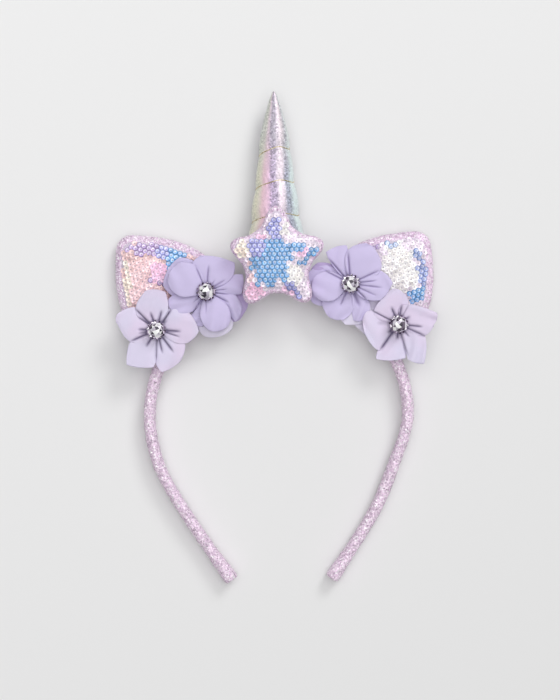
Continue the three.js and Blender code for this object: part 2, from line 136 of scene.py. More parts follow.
room = bpy.data.worlds.new("room")
room.use_nodes = True
bpy.context.scene.world = room
room_light = room.node_tree.nodes["Background"]
room_place = node(room, "TexCoord")
room_facing = node(room, "VectorMath", {"operation": "DOT_PRODUCT"})
room.node_tree.links.new(room_place.outputs["Generated"], room_facing.inputs[0])
room_facing.inputs[1].default_value = ROOM_TOWARDS
room_tone = steps(room, room_facing.outputs["Value"], [
    (0.0, (0.40, 0.40, 0.40)),
    (0.5, (0.40, 0.40, 0.405)),
    (0.70, (0.48, 0.48, 0.48)),
    (0.85, (1.1, 1.1, 1.1)),
    (0.93, (2.6, 2.6, 2.6)),
    (1.0, (4.2, 4.2, 4.2)),
])
plug(room, room_light, "Color", room_tone)
room_light.inputs["Strength"].default_value = ROOM

bpy.ops.object.camera_add(
    location=(*CAMERA_OVER, CAMERA_HIGH), rotation=(0, 0, math.radians(CAMERA_TURN))
)
camera = bpy.context.object
camera.name = "camera"
camera.data.sensor_fit = "VERTICAL"
camera.data.sensor_height = 36
camera.data.lens = 36 * 1.4 / FRAME_HIGH
camera.data.clip_end = 20
bpy.context.scene.camera = camera
bpy.context.scene.view_settings.view_transform = "Standard"

# Band
# A springy strip, padded and covered in lilac-pink glitter cloth, bent to an arch with two
# straighter arms. It is modelled flat in its own plane, in millimetres about the arch's centre,
# as every piece here is, and then laid back on its end wraps and the horn's foot.
ARCH_RADIUS = 62.8
BAND_THICK = 5.2
BAND_WIDE = 8.0
PADDING = 0.25
LEAN = math.radians(1.638261193405569)
LAID_AT = Vector((0.5512709968, -38.3211101275, 6.7777433641))
# The arm below the arch: the length of its stretches, and how far each bends inwards, in degrees
ARM_RUN = 7.36
ARM_BENDS = [9.4, 5.2, 4.5, 4.2, 3.6, 2.6, 1.8, 1.3, 1.0, 0.6, 0.4, 0.2]


def lay_back(piece):
    """Puts a piece from the arch's own frame where it lies, in metres, and applies its place."""
    place = (
        Matrix.Scale(0.001, 4)
        @ Matrix.Translation(LAID_AT)
        @ Matrix.Rotation(LEAN, 4, "X")
    )
    piece.matrix_world = place @ piece.matrix_world
    bpy.ops.object.select_all(action="DESELECT")
    piece.select_set(True)
    bpy.context.view_layer.objects.active = piece
    bpy.ops.object.transform_apply(location=True, rotation=True, scale=True)
    return piece


def turn_about(degrees, centre):
    """Turns what is selected in edit mode about an upright line, anticlockwise from the front."""
    bpy.ops.transform.rotate(
        value=-math.radians(degrees), orient_axis="Z", center_override=centre
    )


def glitter(name, flake_tones_and_glints, cell):
    """Glitter cloth: flakes of cell millimetres, each with its own tilt and its own tone; the white flakes are painted
    glints.
    """
    made, shader = finish(name, 0.42, 0.15)
    at = node(made, "TexCoord").outputs["Object"]
    flakes = node(made, "TexVoronoi", Vector=at, Scale=1000 / cell)
    blots = node(made, "TexNoise", Vector=at, Scale=520 / cell, Detail=3)
    pick = node(made, "SeparateColor", Color=flakes.outputs["Color"])
    tone = steps(made, pick.outputs["Red"], flake_tones_and_glints, hard=True)
    mottle = steps(made, blots, [(0.35, (0.80, 0.74, 0.80)), (0.62, (1.06, 1.03, 1.06))])
    colour = node(made, "Mix", {"data_type": "RGBA", "blend_type": "MULTIPLY"},
                  Factor=1.0, A=tone, B=mottle)
    plug(made, shader, "Base Color", colour)
    gloss = node(made, "MapRange", Value=pick.outputs["Green"], To_Min=0.18, To_Max=0.62)
    plug(made, shader, "Roughness", gloss)
    shiny = node(made, "MapRange", Value=pick.outputs["Blue"], From_Min=0.55, To_Max=0.55)
    plug(made, shader, "Metallic", shiny)
    tilt = node(made, "VectorMath", {"operation": "MULTIPLY_ADD"})
    plug(made, tilt, "Vector", flakes.outputs["Color"])
    tilt.inputs[1].default_value = (0.9, 0.9, 0.9)
    tilt.inputs[2].default_value = (-0.45, -0.45, -0.45)
    facing = node(made, "VectorMath", {"operation": "ADD"})
    made.node_tree.links.new(node(made, "NewGeometry").outputs["Normal"], facing.inputs[0])
    made.node_tree.links.new(tilt.outputs["Vector"], facing.inputs[1])
    level = node(made, "VectorMath", {"operation": "NORMALIZE"})
    made.node_tree.links.new(facing.outputs["Vector"], level.inputs[0])
    grain = node(made, "Bump", Height=flakes.outputs["Distance"], Strength=0.35, Distance=0.0003,
                 Normal=level.outputs["Vector"])
    plug(made, shader, "Normal", grain)
    return made


# The flakes' tones; the near-white one is a painted glint
BAND_TONES_AND_GLINTS = [
    (0.0, (0.86, 0.70, 0.84)),
    (0.34, (0.93, 0.79, 0.90)),
    (0.58, (0.79, 0.63, 0.78)),
    (0.72, (0.96, 0.85, 0.94)),
    (0.84, (1.0, 0.98, 1.0)),
    (0.94, (0.62, 0.50, 0.62)),
]
glitter_cloth = glitter("glitter_cloth", BAND_TONES_AND_GLINTS, 0.62)

bpy.ops.object.select_all(action="DESELECT")
bpy.ops.mesh.primitive_circle_add(
    vertices=28, radius=1, location=(0, ARCH_RADIUS, 0), rotation=(0, math.pi / 2, 0)
)
band = bpy.context.object
band.name = "padded_band"
bpy.ops.object.transform_apply(location=True, rotation=True, scale=True)
bpy.ops.object.mode_set(mode="EDIT")
bpy.ops.transform.resize(
    value=(1, BAND_THICK / 2 + PADDING, BAND_WIDE / 2), center_override=(0, ARCH_RADIUS, 0)
)
bpy.ops.mesh.spin(
    steps=96, angle=math.radians(90), center=(0, 0, 0), axis=(0, 0, 1)
)
heading, at = -90.0, Vector((ARCH_RADIUS, 0, 0))
for bend in ARM_BENDS:
    for part in range(6):
        heading -= bend / 6
        ahead = Vector((math.cos(math.radians(heading)), math.sin(math.radians(heading)), 0))
        forward = ahead * (ARM_RUN / 6)
        at = at + forward
        bpy.ops.mesh.extrude_region_move(TRANSFORM_OT_translate={"value": forward})
        turn_about(-bend / 6, at)
bpy.ops.object.mode_set(mode="OBJECT")
band_end, band_heading = at, heading
fat = max(abs(v.co.z) for v in band.data.vertices)
for v in band.data.vertices:
    # squares the section a little, as the folded cloth does
    v.co.z = math.copysign(fat * (abs(v.co.z) / fat) ** 0.75, v.co.z)
halves = band.modifiers.new("halves", "MIRROR")
halves.use_axis = (True, False, False)
halves.merge_threshold = 0.01
bpy.ops.object.modifier_apply(modifier="halves")
for v in band.data.vertices:
    # the right arm is pressed in a little below the arch, the left one stands out
    v.co.x -= (2.0 if v.co.x > 0 else 0.9) * math.exp(-(((v.co.y + 24) / 15.6) ** 2))
bpy.ops.object.mode_set(mode="EDIT")
bpy.ops.mesh.select_all(action="SELECT")
bpy.ops.mesh.remove_doubles(threshold=0.01)
bpy.ops.mesh.normals_make_consistent(inside=False)
bpy.ops.mesh.select_all(action="DESELECT")
bpy.ops.mesh.select_non_manifold()
bpy.ops.mesh.edge_face_add()
bpy.ops.object.mode_set(mode="OBJECT")
lumps = bpy.data.textures.new("lumps", "CLOUDS")
lumps.noise_scale = 1.9
padding = band.modifiers.new("padding", "DISPLACE")
padding.texture = lumps
padding.strength = 0.9
padding.mid_level = 0.5
bpy.ops.object.modifier_apply(modifier="padding")
bpy.ops.object.shade_smooth()
wear(band, glitter_cloth)
lay_back(band)
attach(band, "root")
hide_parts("band")

# End wraps
# The cloth's two ends, folded over the tips of the strip and glued down, a little fatter than the
# padded band. Each is one short sleeve with a closed, rounded tip and a lapped edge across it.
WRAP_LENGTH = 14.0
WRAP_THICK = 6.5
WRAP_WIDE = 9.0
WRAP_CLOTH = 1.2
# The sleeve from the band to its tip: place along it and fullness
WRAP = [
    {"along": 0.0, "full": 0.86},
    {"along": 0.3, "full": 0.97},
    {"along": 1.2, "full": 1.0},
    {"along": 4.6, "full": 0.99},
    {"along": 5.2, "full": 0.93},
    {"along": 5.8, "full": 1.0},
    {"along": 9.0, "full": 1.05},
    {"along": 11.6, "full": 1.08},
    {"along": 13.4, "full": 1.06},
    {"along": 13.9, "full": 0.94},
    {"along": 14.0, "full": 0.4},
]

for name, side in (("left", -1), ("right", 1)):
    ahead = Vector((math.cos(math.radians(band_heading)), math.sin(math.radians(band_heading)), 0))
    root = band_end - ahead * (WRAP_LENGTH - WRAP_CLOTH)
    bpy.ops.object.select_all(action="DESELECT")
    bpy.ops.mesh.primitive_circle_add(
        vertices=28, radius=1, location=root, rotation=(math.pi / 2, 0, math.radians(band_heading + 90))
    )
    wrap = bpy.context.object
    wrap.name = "folded_end_" + name
    bpy.ops.object.transform_apply(location=True, rotation=True, scale=True)
    for v in wrap.data.vertices:
        out = v.co - root
        level = Vector((out.x, out.y, 0)) * (WRAP_THICK / 2 * WRAP[0]["full"])
        v.co = root + level + Vector((0, 0, math.copysign(abs(out.z) ** 0.7, out.z)
                                      * WRAP_WIDE / 2 * WRAP[0]["full"]))
    bpy.ops.object.mode_set(mode="EDIT")
    for before, row in zip(WRAP, WRAP[1:]):
        run = ahead * (row["along"] - before["along"])
        bpy.ops.mesh.extrude_region_move(TRANSFORM_OT_translate={"value": run})
        share = row["full"] / before["full"]
        bpy.ops.transform.resize(
            value=(share, share, share), center_override=root + ahead * row["along"]
        )
    bpy.ops.mesh.edge_face_add()
    bpy.ops.mesh.select_all(action="SELECT")
    if side < 0:
        bpy.ops.transform.mirror(
            constraint_axis=(True, False, False), center_override=(0, 0, 0)
        )
    bpy.ops.mesh.normals_make_consistent(inside=False)
    bpy.ops.object.mode_set(mode="OBJECT")
    smooth = wrap.modifiers.new("smooth", "SUBSURF")
    smooth.levels = smooth.render_levels = 2
    bpy.ops.object.modifier_apply(modifier="smooth")
    padding = wrap.modifiers.new("padding", "DISPLACE")
    padding.texture = lumps
    padding.strength = 0.3
    bpy.ops.object.modifier_apply(modifier="padding")
    bpy.ops.object.shade_smooth()
    wear(wrap, glitter_cloth)
    lay_back(wrap)
    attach(wrap, "root")
    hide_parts("end_wrap_" + name)

# Felt backings
# A curved strip of lilac felt is glued to the band's front on each side. It holds the ear's foot
# and carries the two flowers; only its lower edge shows between and below their petals.
FELT = 1.2
FELT_LOW = 4.3
FELT_INSIDE = 5.5
FELT_OUTSIDE = 13.0
FELT_FROM = 21.0
FELT_TO = 63.0

lilac_felt, felt_shader = finish("lilac_felt", 0.95)
felt_at = node(lilac_felt, "TexCoord").outputs["Object"]
felt_hair = node(lilac_felt, "TexNoise", Vector=felt_at, Scale=2600, Detail=6, Distortion=1.5)
felt_blots = node(lilac_felt, "TexNoise", Vector=felt_at, Scale=240, Detail=3)
felt_tone = steps(lilac_felt, felt_blots, [(0.3, (0.66, 0.60, 0.76)), (0.7, (0.76, 0.71, 0.85))])
plug(lilac_felt, felt_shader, "Base Color", felt_tone)
plug(lilac_felt, felt_shader, "Normal",
     node(lilac_felt, "Bump", Height=felt_hair, Strength=0.5, Distance=0.0002))
felt_shader.inputs["Sheen Weight"].default_value = 0.4

for name, side in (("left", -1), ("right", 1)):
    bpy.ops.object.select_all(action="DESELECT")
    middle = ARCH_RADIUS + (FELT_OUTSIDE - FELT_INSIDE) / 2
    bpy.ops.mesh.primitive_plane_add(
        size=1, location=(0, middle, FELT_LOW + FELT / 2), rotation=(0, math.pi / 2, 0)
    )
    felt = bpy.context.object
    felt.name = "felt_backing_" + name
    bpy.ops.object.transform_apply(location=True, rotation=True, scale=True)
    bpy.ops.object.mode_set(mode="EDIT")
    bpy.ops.transform.resize(
        value=(1, FELT_INSIDE + FELT_OUTSIDE, FELT), center_override=(0, middle, FELT_LOW + FELT / 2)
    )
    turn_about(-side * FELT_FROM, (0, 0, 0))
    bpy.ops.mesh.spin(
        steps=28, angle=math.radians(FELT_TO - FELT_FROM), center=(0, 0, 0), axis=(0, 0, side)
    )
    bpy.ops.mesh.select_all(action="SELECT")
    bpy.ops.mesh.remove_doubles(threshold=0.001)
    bpy.ops.mesh.normals_make_consistent(inside=False)
    bpy.ops.object.mode_set(mode="OBJECT")
    edge = felt.modifiers.new("edge", "BEVEL")
    edge.width = 0.35
    edge.segments = 3
    edge.limit_method = "ANGLE"
    bpy.ops.object.modifier_apply(modifier="edge")
    bpy.ops.object.shade_smooth_by_angle(angle=math.radians(40))
    wear(felt, lilac_felt)
    lay_back(felt)
    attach(felt, "root")
    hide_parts("backing_" + name)

# Horn
# A stuffed cone of silver foil cloth, wound with gold thread that pulls it into rising coils. Its pearly
# sheen of green, pink, violet and teal is painted into its colour as bands of painted reflection round
# it, with a painted white highlight. It stands on the crown and lies flat behind.
HORN_FOOT = 65.7
HORN_LENGTH = 91.7
HORN_RADIUS = 14.2
HORN_FRONT = 12.2
HORN_BACK = 9.0
COIL_RISE = 16.1
COIL_TURNS = 5
COIL_DEEP = 0.8
COIL_DIP = 4.4
COIL_SPREAD = 2.4
HORN_LINE = [
    {"up": 0, "radius": 0.84},
    {"up": 0.03, "radius": 0.95},
    {"up": 0.1, "radius": 1},
    {"up": 0.18, "radius": 0.985},
    {"up": 0.262, "radius": 0.937},
    {"up": 0.371, "radius": 0.838},
    {"up": 0.48, "radius": 0.736},
    {"up": 0.583, "radius": 0.637},
    {"up": 0.691, "radius": 0.56},
    {"up": 0.763, "radius": 0.49},
    {"up": 0.861, "radius": 0.345},
    {"up": 0.943, "radius": 0.19},
    {"up": 0.982, "radius": 0.1},
    {"up": 1, "radius": 0.03},
]


def ease(value, low, high):
    """0 below low, 1 above high, and a smooth rise between."""
    share = min(1, max(0, (value - low) / (high - low)))
    return share * share * (3 - 2 * share)


def between(rows, key, column, value):
    """The value of one column of a table at a place along another."""
    for a, b in zip(rows, rows[1:]):
        if value <= b[key]:
            share = max(0, (value - a[key]) / (b[key] - a[key]))
            return a[column] + (b[column] - a[column]) * share
    return rows[-1][column]


def cloth(name, across, along, place, around=False):
    """A skin of across by along faces: place(u, v) gives each point, u and v from 0 to 1."""
    columns = across if around else across + 1
    spots = [place(i / across, j / along) for j in range(along + 1) for i in range(columns)]
    faces = [
        (j * columns + i, j * columns + (i + 1) % columns,
         (j + 1) * columns + (i + 1) % columns, (j + 1) * columns + i)
        for j in range(along) for i in range(across)
    ]
    data = bpy.data.meshes.new(name)
    data.from_pydata(spots, [], faces)
    chart = data.uv_layers.new(name="chart")
    corners = [
        ((i + p) / across, (j + q) / along)
        for j in range(along) for i in range(across) for p, q in ((0, 0), (1, 0), (1, 1), (0, 1))
    ]
    chart.data.foreach_set("uv", [x for corner in corners for x in corner])
    made = bpy.data.objects.new(name, data)
    bpy.context.collection.objects.link(made)
    bpy.ops.object.select_all(action="DESELECT")
    made.select_set(True)
    bpy.context.view_layer.objects.active = made
    return made


def horn_point(around, up, out=0.0):
    """A point of the horn's skin: around in radians from the front, up in millimetres."""
    radius = between(HORN_LINE, "up", "radius", up / HORN_LENGTH) * HORN_RADIUS
    coils = (up + COIL_DIP * max(0, math.sin(around)) ** 2) / COIL_RISE - around / (2 * math.pi)
    away = (coils - min(COIL_TURNS - 1, max(0, round(coils)))) * COIL_RISE
    near = math.exp(-((away / COIL_SPREAD) ** 2))
    pucker = 0.16 * math.sin(around * 23 + up * 0.7) * math.exp(-((away / 4.5) ** 2))
    swell = 0.2 * math.cos(math.pi * min(1, abs(away) / (COIL_RISE / 2)))
    girth = radius - (COIL_DEEP * near + 0.35 + swell - pucker) * radius / HORN_RADIUS + out
    deep = (HORN_FRONT if math.cos(around) > 0 else HORN_BACK) / HORN_RADIUS
    return Vector((girth * math.sin(around), HORN_FOOT + up, girth * math.cos(around) * deep))


def horn_skin(u, v):
    around = 2 * math.pi * (u - 0.5)
    if v == 0 or v == 1:
        return Vector((0, HORN_FOOT + v * HORN_LENGTH, 0))
    return horn_point(around, min(1, max(0, (v - 0.005) / 0.99)) * HORN_LENGTH)


horn = cloth("stuffed_horn", 112, 200, horn_skin, around=True)
bpy.ops.object.mode_set(mode="EDIT")
bpy.ops.mesh.select_all(action="SELECT")
bpy.ops.mesh.remove_doubles(threshold=0.001)
bpy.ops.mesh.normals_make_consistent(inside=False)
bpy.ops.object.mode_set(mode="OBJECT")
bpy.ops.object.shade_smooth()

foil_cloth, foil_shader = finish("silver_foil_cloth", 0.40, 0.30)
foil_chart = node(foil_cloth, "UVMap", {"uv_map": "chart"})
foil_split = node(foil_cloth, "SeparateXYZ", Vector=foil_chart.outputs["UV"])
foil_at = node(foil_cloth, "TexCoord").outputs["Object"]
foil_drift = node(foil_cloth, "TexNoise", Vector=foil_at, Scale=95, Detail=2)
foil_shift = node(foil_cloth, "MapRange", Value=foil_drift, To_Min=-0.022, To_Max=0.022)
foil_round = node(foil_cloth, "Math", {"operation": "ADD"})
foil_cloth.node_tree.links.new(foil_split.outputs["X"], foil_round.inputs[0])
foil_cloth.node_tree.links.new(foil_shift.outputs["Result"], foil_round.inputs[1])
# Painted reflections: bands of colour round the horn, a painted white highlight stripe with dark painted reflections
# beside it and green, pink and teal tints; one set low down and one near the tip
foil_painted_reflections_low = steps(foil_cloth, foil_round, [
    (0.00, (0.55, 0.50, 0.60)),
    (0.24, (0.72, 0.74, 0.66)),
    (0.335, (0.80, 0.79, 0.62)),
    (0.368, (0.89, 0.82, 0.72)),
    (0.400, (0.98, 0.70, 0.78)),
    (0.440, (0.94, 0.66, 0.82)),
    (0.470, (0.46, 0.37, 0.52)),
    (0.505, (0.41, 0.35, 0.46)),
    (0.530, (0.80, 0.70, 0.77)),
    (0.562, (0.78, 0.69, 0.76)),
    (0.590, (0.44, 0.46, 0.56)),
    (0.620, (0.48, 0.52, 0.60)),
    (0.655, (0.74, 0.86, 0.85)),
    (0.74, (0.76, 0.82, 0.82)),
    (1.0, (0.55, 0.50, 0.60)),
])
foil_painted_reflections_high = steps(foil_cloth, foil_round, [
    (0.00, (0.55, 0.50, 0.60)),
    (0.30, (0.62, 0.66, 0.60)),
    (0.385, (0.74, 0.74, 0.68)),
    (0.425, (0.80, 0.66, 0.74)),
    (0.458, (0.44, 0.40, 0.48)),
    (0.51, (0.39, 0.36, 0.42)),
    (0.545, (0.62, 0.55, 0.62)),
    (0.570, (0.82, 0.73, 0.78)),
    (0.605, (0.76, 0.69, 0.73)),
    (0.64, (0.56, 0.56, 0.60)),
    (0.70, (0.72, 0.78, 0.76)),
    (1.0, (0.55, 0.50, 0.60)),
])
foil_painted_reflections = node(foil_cloth, "Mix", {"data_type": "RGBA"}, A=foil_painted_reflections_low, B=foil_painted_reflections_high, Factor=node(
    foil_cloth, "MapRange", {"interpolation_type": "SMOOTHSTEP"}, Value=foil_split.outputs["Y"],
    From_Min=0.52, From_Max=0.80))
foil_grain = node(foil_cloth, "TexVoronoi", Vector=foil_at, Scale=1500)
foil_pick = node(foil_cloth, "SeparateColor", Color=foil_grain.outputs["Color"])
foil_dots = steps(foil_cloth, foil_pick.outputs["Red"], [
    (0.0, (0.48, 0.46, 0.52)), (0.30, (0.92, 0.92, 0.92)), (0.68, (1.05, 1.05, 1.05)),
    (0.88, (1.45, 1.42, 1.45))
])
# The grain shows most where the painted reflections are dim
foil_reflection_hsv = node(foil_cloth, "SeparateColor", {"mode": "HSV"}, Color=foil_painted_reflections)
foil_grain_where_dim = node(foil_cloth, "MapRange", Value=foil_reflection_hsv.outputs["Blue"],
                 From_Min=0.86, From_Max=0.56, To_Min=0.18, To_Max=1.0)
plug(foil_cloth, foil_shader, "Base Color", node(
    foil_cloth, "Mix", {"data_type": "RGBA", "blend_type": "MULTIPLY"},
    Factor=foil_grain_where_dim, A=foil_painted_reflections, B=foil_dots))
plug(foil_cloth, foil_shader, "Normal",
     node(foil_cloth, "Bump", Height=foil_grain.outputs["Distance"], Strength=0.3, Distance=0.0002))
wear(horn, foil_cloth)
lay_back(horn)
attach(horn, "root")
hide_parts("horn")

# Gold thread
# One fine gold thread is wound round the horn from its foot upwards and sewn down, so it lies in
# the bottom of the coils.
THREAD_THICK = 0.5
gold_thread, thread_shader = finish("gold_thread", 0.35, 0.85)
thread_at = node(gold_thread, "TexCoord").outputs["Object"]
thread_ply = node(gold_thread, "TexNoise", Vector=thread_at, Scale=1500, Detail=2)
plug(gold_thread, thread_shader, "Base Color", steps(gold_thread, thread_ply, [
    (0.34, (0.32, 0.25, 0.10)), (0.5, (0.72, 0.62, 0.36)), (0.66, (0.92, 0.86, 0.66))]))
plug(gold_thread, thread_shader, "Normal",
     node(gold_thread, "Bump", Height=thread_ply, Strength=0.4, Distance=0.0002))
winding = bpy.data.curves.new("gold_thread", "CURVE")
winding.dimensions = "3D"
winding.bevel_depth = THREAD_THICK / 2
winding.bevel_resolution = 2
winding.use_fill_caps = True
run = winding.splines.new("POLY")
last = int((COIL_TURNS - 0.5) * 60)
wound = []
for i in range(3, last):
    turn = 2 * math.pi * i / 60
    wound.append(horn_point(turn, COIL_RISE * i / 60 - COIL_DIP * max(0, math.sin(turn)) ** 2, 0.02))
run.points.add(len(wound) - 1)
for spot, place in zip(run.points, wound):
    spot.co = (*place, 1)
thread = bpy.data.objects.new("gold_thread", winding)
bpy.context.collection.objects.link(thread)
bpy.ops.object.select_all(action="DESELECT")
thread.select_set(True)
bpy.context.view_layer.objects.active = thread
bpy.ops.object.convert(target="MESH")
bpy.ops.object.shade_smooth()
wear(thread, gold_thread)
lay_back(thread)
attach(thread, "root")

# Star
# A padded star of pink glitter cloth, sewn to the horn's foot. Its front is a panel of sequined
# net inside a rolled edge; the cloth is cut as two stars, sewn round and stuffed through the back.
STAR_AT = Vector((0.2, 76.5, 17.25))
STAR_REACH = 25.4
STAR_WAIST = 17.0
STAR_THICK = 9.5
STAR_TRIM = 2.3
STAR_ARMS = [1.01, 0.94, 1.02, 1.02, 0.93]
RIM = 1.2

# The flakes' tones; the near-white one is a painted glint
EDGE_TONES_AND_GLINTS = [
    (0.0, (0.84, 0.65, 0.82)),
    (0.30, (0.92, 0.77, 0.92)),
    (0.55, (0.78, 0.60, 0.78)),
    (0.68, (0.95, 0.86, 0.95)),
    (0.82, (1.0, 0.98, 1.0)),
    (0.94, (0.60, 0.46, 0.62)),
]
glitter_edge = glitter("glitter_edge", EDGE_TONES_AND_GLINTS, 0.6)


def star_line():
    """The star's outline about its centre, clockwise from the notch before the top arm."""
    points = []
    for arm, stretch in enumerate(STAR_ARMS):
        for i in range(28):
            off = i / 28 - 0.5
            turn = 2 * math.pi * (arm + off) / 5
            share = (0.5 + 0.5 * math.cos(2 * math.pi * off)) ** 1.7
            reach = STAR_WAIST + (STAR_REACH * stretch - STAR_WAIST) * share
            points.append(Vector((reach * math.sin(turn), reach * math.cos(turn))))
    return points


def panel_shares(outline, trim):
    """How far out the sequined panel reaches in each direction, as a share of the outline."""
    shares = []
    for i, point in enumerate(outline):
        along = outline[(i + 1) % len(outline)] - outline[i - 1]
        across = Vector((along.y, -along.x)).normalized()
        lean = max(0.45, abs(across.dot(point.normalized())))
        shares.append(1 - trim / lean / point.length)
    rounded = [sum(shares[i - k] for k in range(-3, 4)) / 7 if i < len(shares) - 3 else
               sum(shares[(i + k) % len(shares)] for k in range(-3, 4)) / 7
               for i in range(len(shares))]
    return rounded


def pillow(name, outline, thick, shares):
    """A stuffed pillow with a rolled edge round its front, as a closed skin."""
    half = thick / 2
    count = len(outline)

    def place(u, v):
        i = round(u * count) % count
        edge, inner = outline[i], shares[i]
        if v <= 0.5:
            out = min(1, v / 0.46)
            high = RIM + (half - RIM) * (1 - out ** 3)
            roll = (out - inner) / (1 - inner)
            if 0 < roll < 1:
                high += 0.75 * math.sin(math.pi * roll) ** 0.8
            high -= 0.45 * math.exp(-(((out - inner) / 0.022) ** 2))
            if v > 0.46:
                high = RIM * (1 - (v - 0.46) / 0.04)
                out = 1 + 0.012 * math.sin(math.pi * (v - 0.46) / 0.08)
        else:
            out = min(1, (1 - v) / 0.46)
            high = -RIM - (half - RIM) * (1 - out ** 3)
            if v < 0.54:
                high = -RIM * (v - 0.5) / 0.04
                out = 1 + 0.012 * math.cos(math.pi * (v - 0.5) / 0.08)
        return Vector((edge.x * out, edge.y * out, high))

    made = cloth(name, count, 100, place, around=True)
    bpy.ops.object.mode_set(mode="EDIT")
    bpy.ops.mesh.select_all(action="SELECT")
    bpy.ops.mesh.remove_doubles(threshold=0.001)
    bpy.ops.mesh.normals_make_consistent(inside=False)
    bpy.ops.object.mode_set(mode="OBJECT")
    return made


def swell(piece, grain, cap):
    """Stuffs a pillow: the skin is remeshed at grain millimetres and swells as Cloth, by up to
    cap millimetres, which draws the sewn edge into small puckers."""
    skin = piece.modifiers.new("skin", "REMESH")
    skin.mode = "VOXEL"
    skin.voxel_size = grain
    bpy.ops.object.modifier_apply(modifier="skin")
    for v in piece.data.vertices:
        v.co *= 0.01
    start = [v.co.copy() for v in piece.data.vertices]
    stuffing = piece.modifiers.new("stuffing", "CLOTH")
    stuffing.settings.use_pressure = True
    stuffing.settings.uniform_pressure_force = 4
    stuffing.settings.effector_weights.gravity = 0
    stuffing.settings.quality = 5
    for number in range(1, 21):
        bpy.context.scene.frame_set(number)
    bpy.ops.object.modifier_apply(modifier="stuffing")
    for v, old in zip(piece.data.vertices, start):
        moved = v.co - old
        if moved.length > cap * 0.01:
            moved.length = cap * 0.01
        v.co = (old + moved) * 100
    bpy.context.scene.frame_set(1)
    soft = piece.modifiers.new("soft", "SUBSURF")
    soft.levels = soft.render_levels = 1
    bpy.ops.object.modifier_apply(modifier="soft")


def front_of(piece):
    """A finder for the front of a piece: asked at x, y it gives the point and the way it faces."""
    tree = BVHTree.FromObject(piece, bpy.context.evaluated_depsgraph_get())

    def find(x, y):
        spot, facing, _, _ = tree.ray_cast(Vector((x, y, 50)), Vector((0, 0, -1)))
        return spot, facing

    return find


def net_panel(name, outline, shares, find, material):
    """The net under the sequins, laid on the pillow's front inside its rolled edge."""
    count = len(outline)

    def place(u, v):
        i = round(u * count) % count
        out = outline[i] * shares[i] * max(v, 0.02)
        spot, facing = find(out.x, out.y)
        return spot + facing * 0.16

    made = cloth(name, count, 26, place, around=True)
    bpy.ops.object.mode_set(mode="EDIT")
    bpy.ops.mesh.select_all(action="DESELECT")
    bpy.ops.object.mode_set(mode="OBJECT")
    for v in made.data.vertices[:count]:
        v.select = True
    bpy.ops.object.mode_set(mode="EDIT")
    bpy.ops.mesh.edge_face_add()
    bpy.ops.mesh.select_all(action="SELECT")
    bpy.ops.mesh.normals_make_consistent(inside=False)
    bpy.ops.object.mode_set(mode="OBJECT")
    facing = sum(p.normal.z * p.area for p in made.data.polygons)
    if facing < 0:
        made.data.flip_normals()
    bpy.ops.object.shade_smooth()
    wear(made, material)
    return made


sequin_net, net_shader = finish("sequin_net", 0.6, 0.1)
net_at = node(sequin_net, "TexCoord").outputs["Object"]
net_mesh = node(sequin_net, "TexVoronoi", {"feature": "DISTANCE_TO_EDGE"}, Vector=net_at, Scale=1400)
plug(sequin_net, net_shader, "Base Color", steps(sequin_net, net_mesh, [
    (0.02, (0.84, 0.76, 0.84)), (0.12, (0.58, 0.50, 0.62))]))
plug(sequin_net, net_shader, "Normal",
     node(sequin_net, "Bump", Height=net_mesh, Strength=0.4, Distance=0.0002))

# Sequins
# Small cupped discs with a hole in the middle, sewn to the net in overlapping rows. Their film is tinted
# in patches, azure and violet in some and pink, peach and pearl in others, and each ring of each sequin
# carries painted shade and painted highlights.
SEQUIN_RADIUS = 1.46
SEQUIN_PITCH = 2.34
SEQUIN_ROWS = 2.02

AZURE = (0.18, 0.50, 1.0)
VIOLET = (0.44, 0.46, 1.0)
PURPLE = (0.62, 0.44, 0.84)
PINK = (1.0, 0.64, 0.84)
PEACH = (1.0, 0.71, 0.74)
PEARL = (1.0, 0.97, 0.95)
PALE = (0.92, 0.82, 0.93)
STRAW = (1.0, 0.86, 0.76)
ICE = (0.62, 0.78, 0.97)
# The patches of colour: middle and half size about the star's centre, and turn
STAR_PATCHES = [
    {"x": 16.5, "y": 2.4, "wide": 3.6, "high": 3.0, "turn": 35, "tone": AZURE},
    {"x": 12.2, "y": 2.3, "wide": 2.8, "high": 1.2, "turn": 35, "tone": PINK},
    {"x": 8.6, "y": 5.4, "wide": 6.0, "high": 2.6, "turn": 5, "tone": AZURE},
    {"x": 13.0, "y": -1.2, "wide": 4.0, "high": 1.6, "turn": 15, "tone": AZURE},
    {"x": -0.6, "y": 14.5, "wide": 2.7, "high": 6.8, "turn": 0, "tone": VIOLET},
    {"x": -9.4, "y": 4.6, "wide": 5.0, "high": 5.6, "turn": 0, "tone": VIOLET},
    {"x": -2.6, "y": -2.0, "wide": 9.4, "high": 11.4, "turn": 0, "tone": AZURE},
    {"x": 7.4, "y": -14.2, "wide": 1.5, "high": 5.8, "turn": 34, "tone": VIOLET},
    {"x": 8.9, "y": -8.4, "wide": 3.8, "high": 5.4, "turn": 0, "tone": PEARL},
    {"x": 13.6, "y": -13.5, "wide": 3.4, "high": 8.0, "turn": 10, "tone": PALE},
    {"x": -18.2, "y": 3.0, "wide": 4.6, "high": 6.0, "turn": 0, "tone": STRAW},
    {"x": -14.8, "y": -7.0, "wide": 3.0, "high": 6.5, "turn": 0, "tone": PEACH},
    {"x": -11.2, "y": -17.0, "wide": 5.4, "high": 4.5, "turn": 0, "tone": PINK},
    {"x": -1.5, "y": -15.5, "wide": 5.0, "high": 2.4, "turn": 0, "tone": PALE},
    {"x": 4.5, "y": -15.5, "wide": 3.4, "high": 2.2, "turn": 0, "tone": PINK},
    {"x": 4.6, "y": 13.5, "wide": 2.2, "high": 4.6, "turn": 0, "tone": PEARL},
    {"x": -6.8, "y": 11.5, "wide": 2.0, "high": 4.2, "turn": 0, "tone": PINK},
    {"x": 15.5, "y": 8.0, "wide": 5.5, "high": 2.4, "turn": 0, "tone": PALE},
]

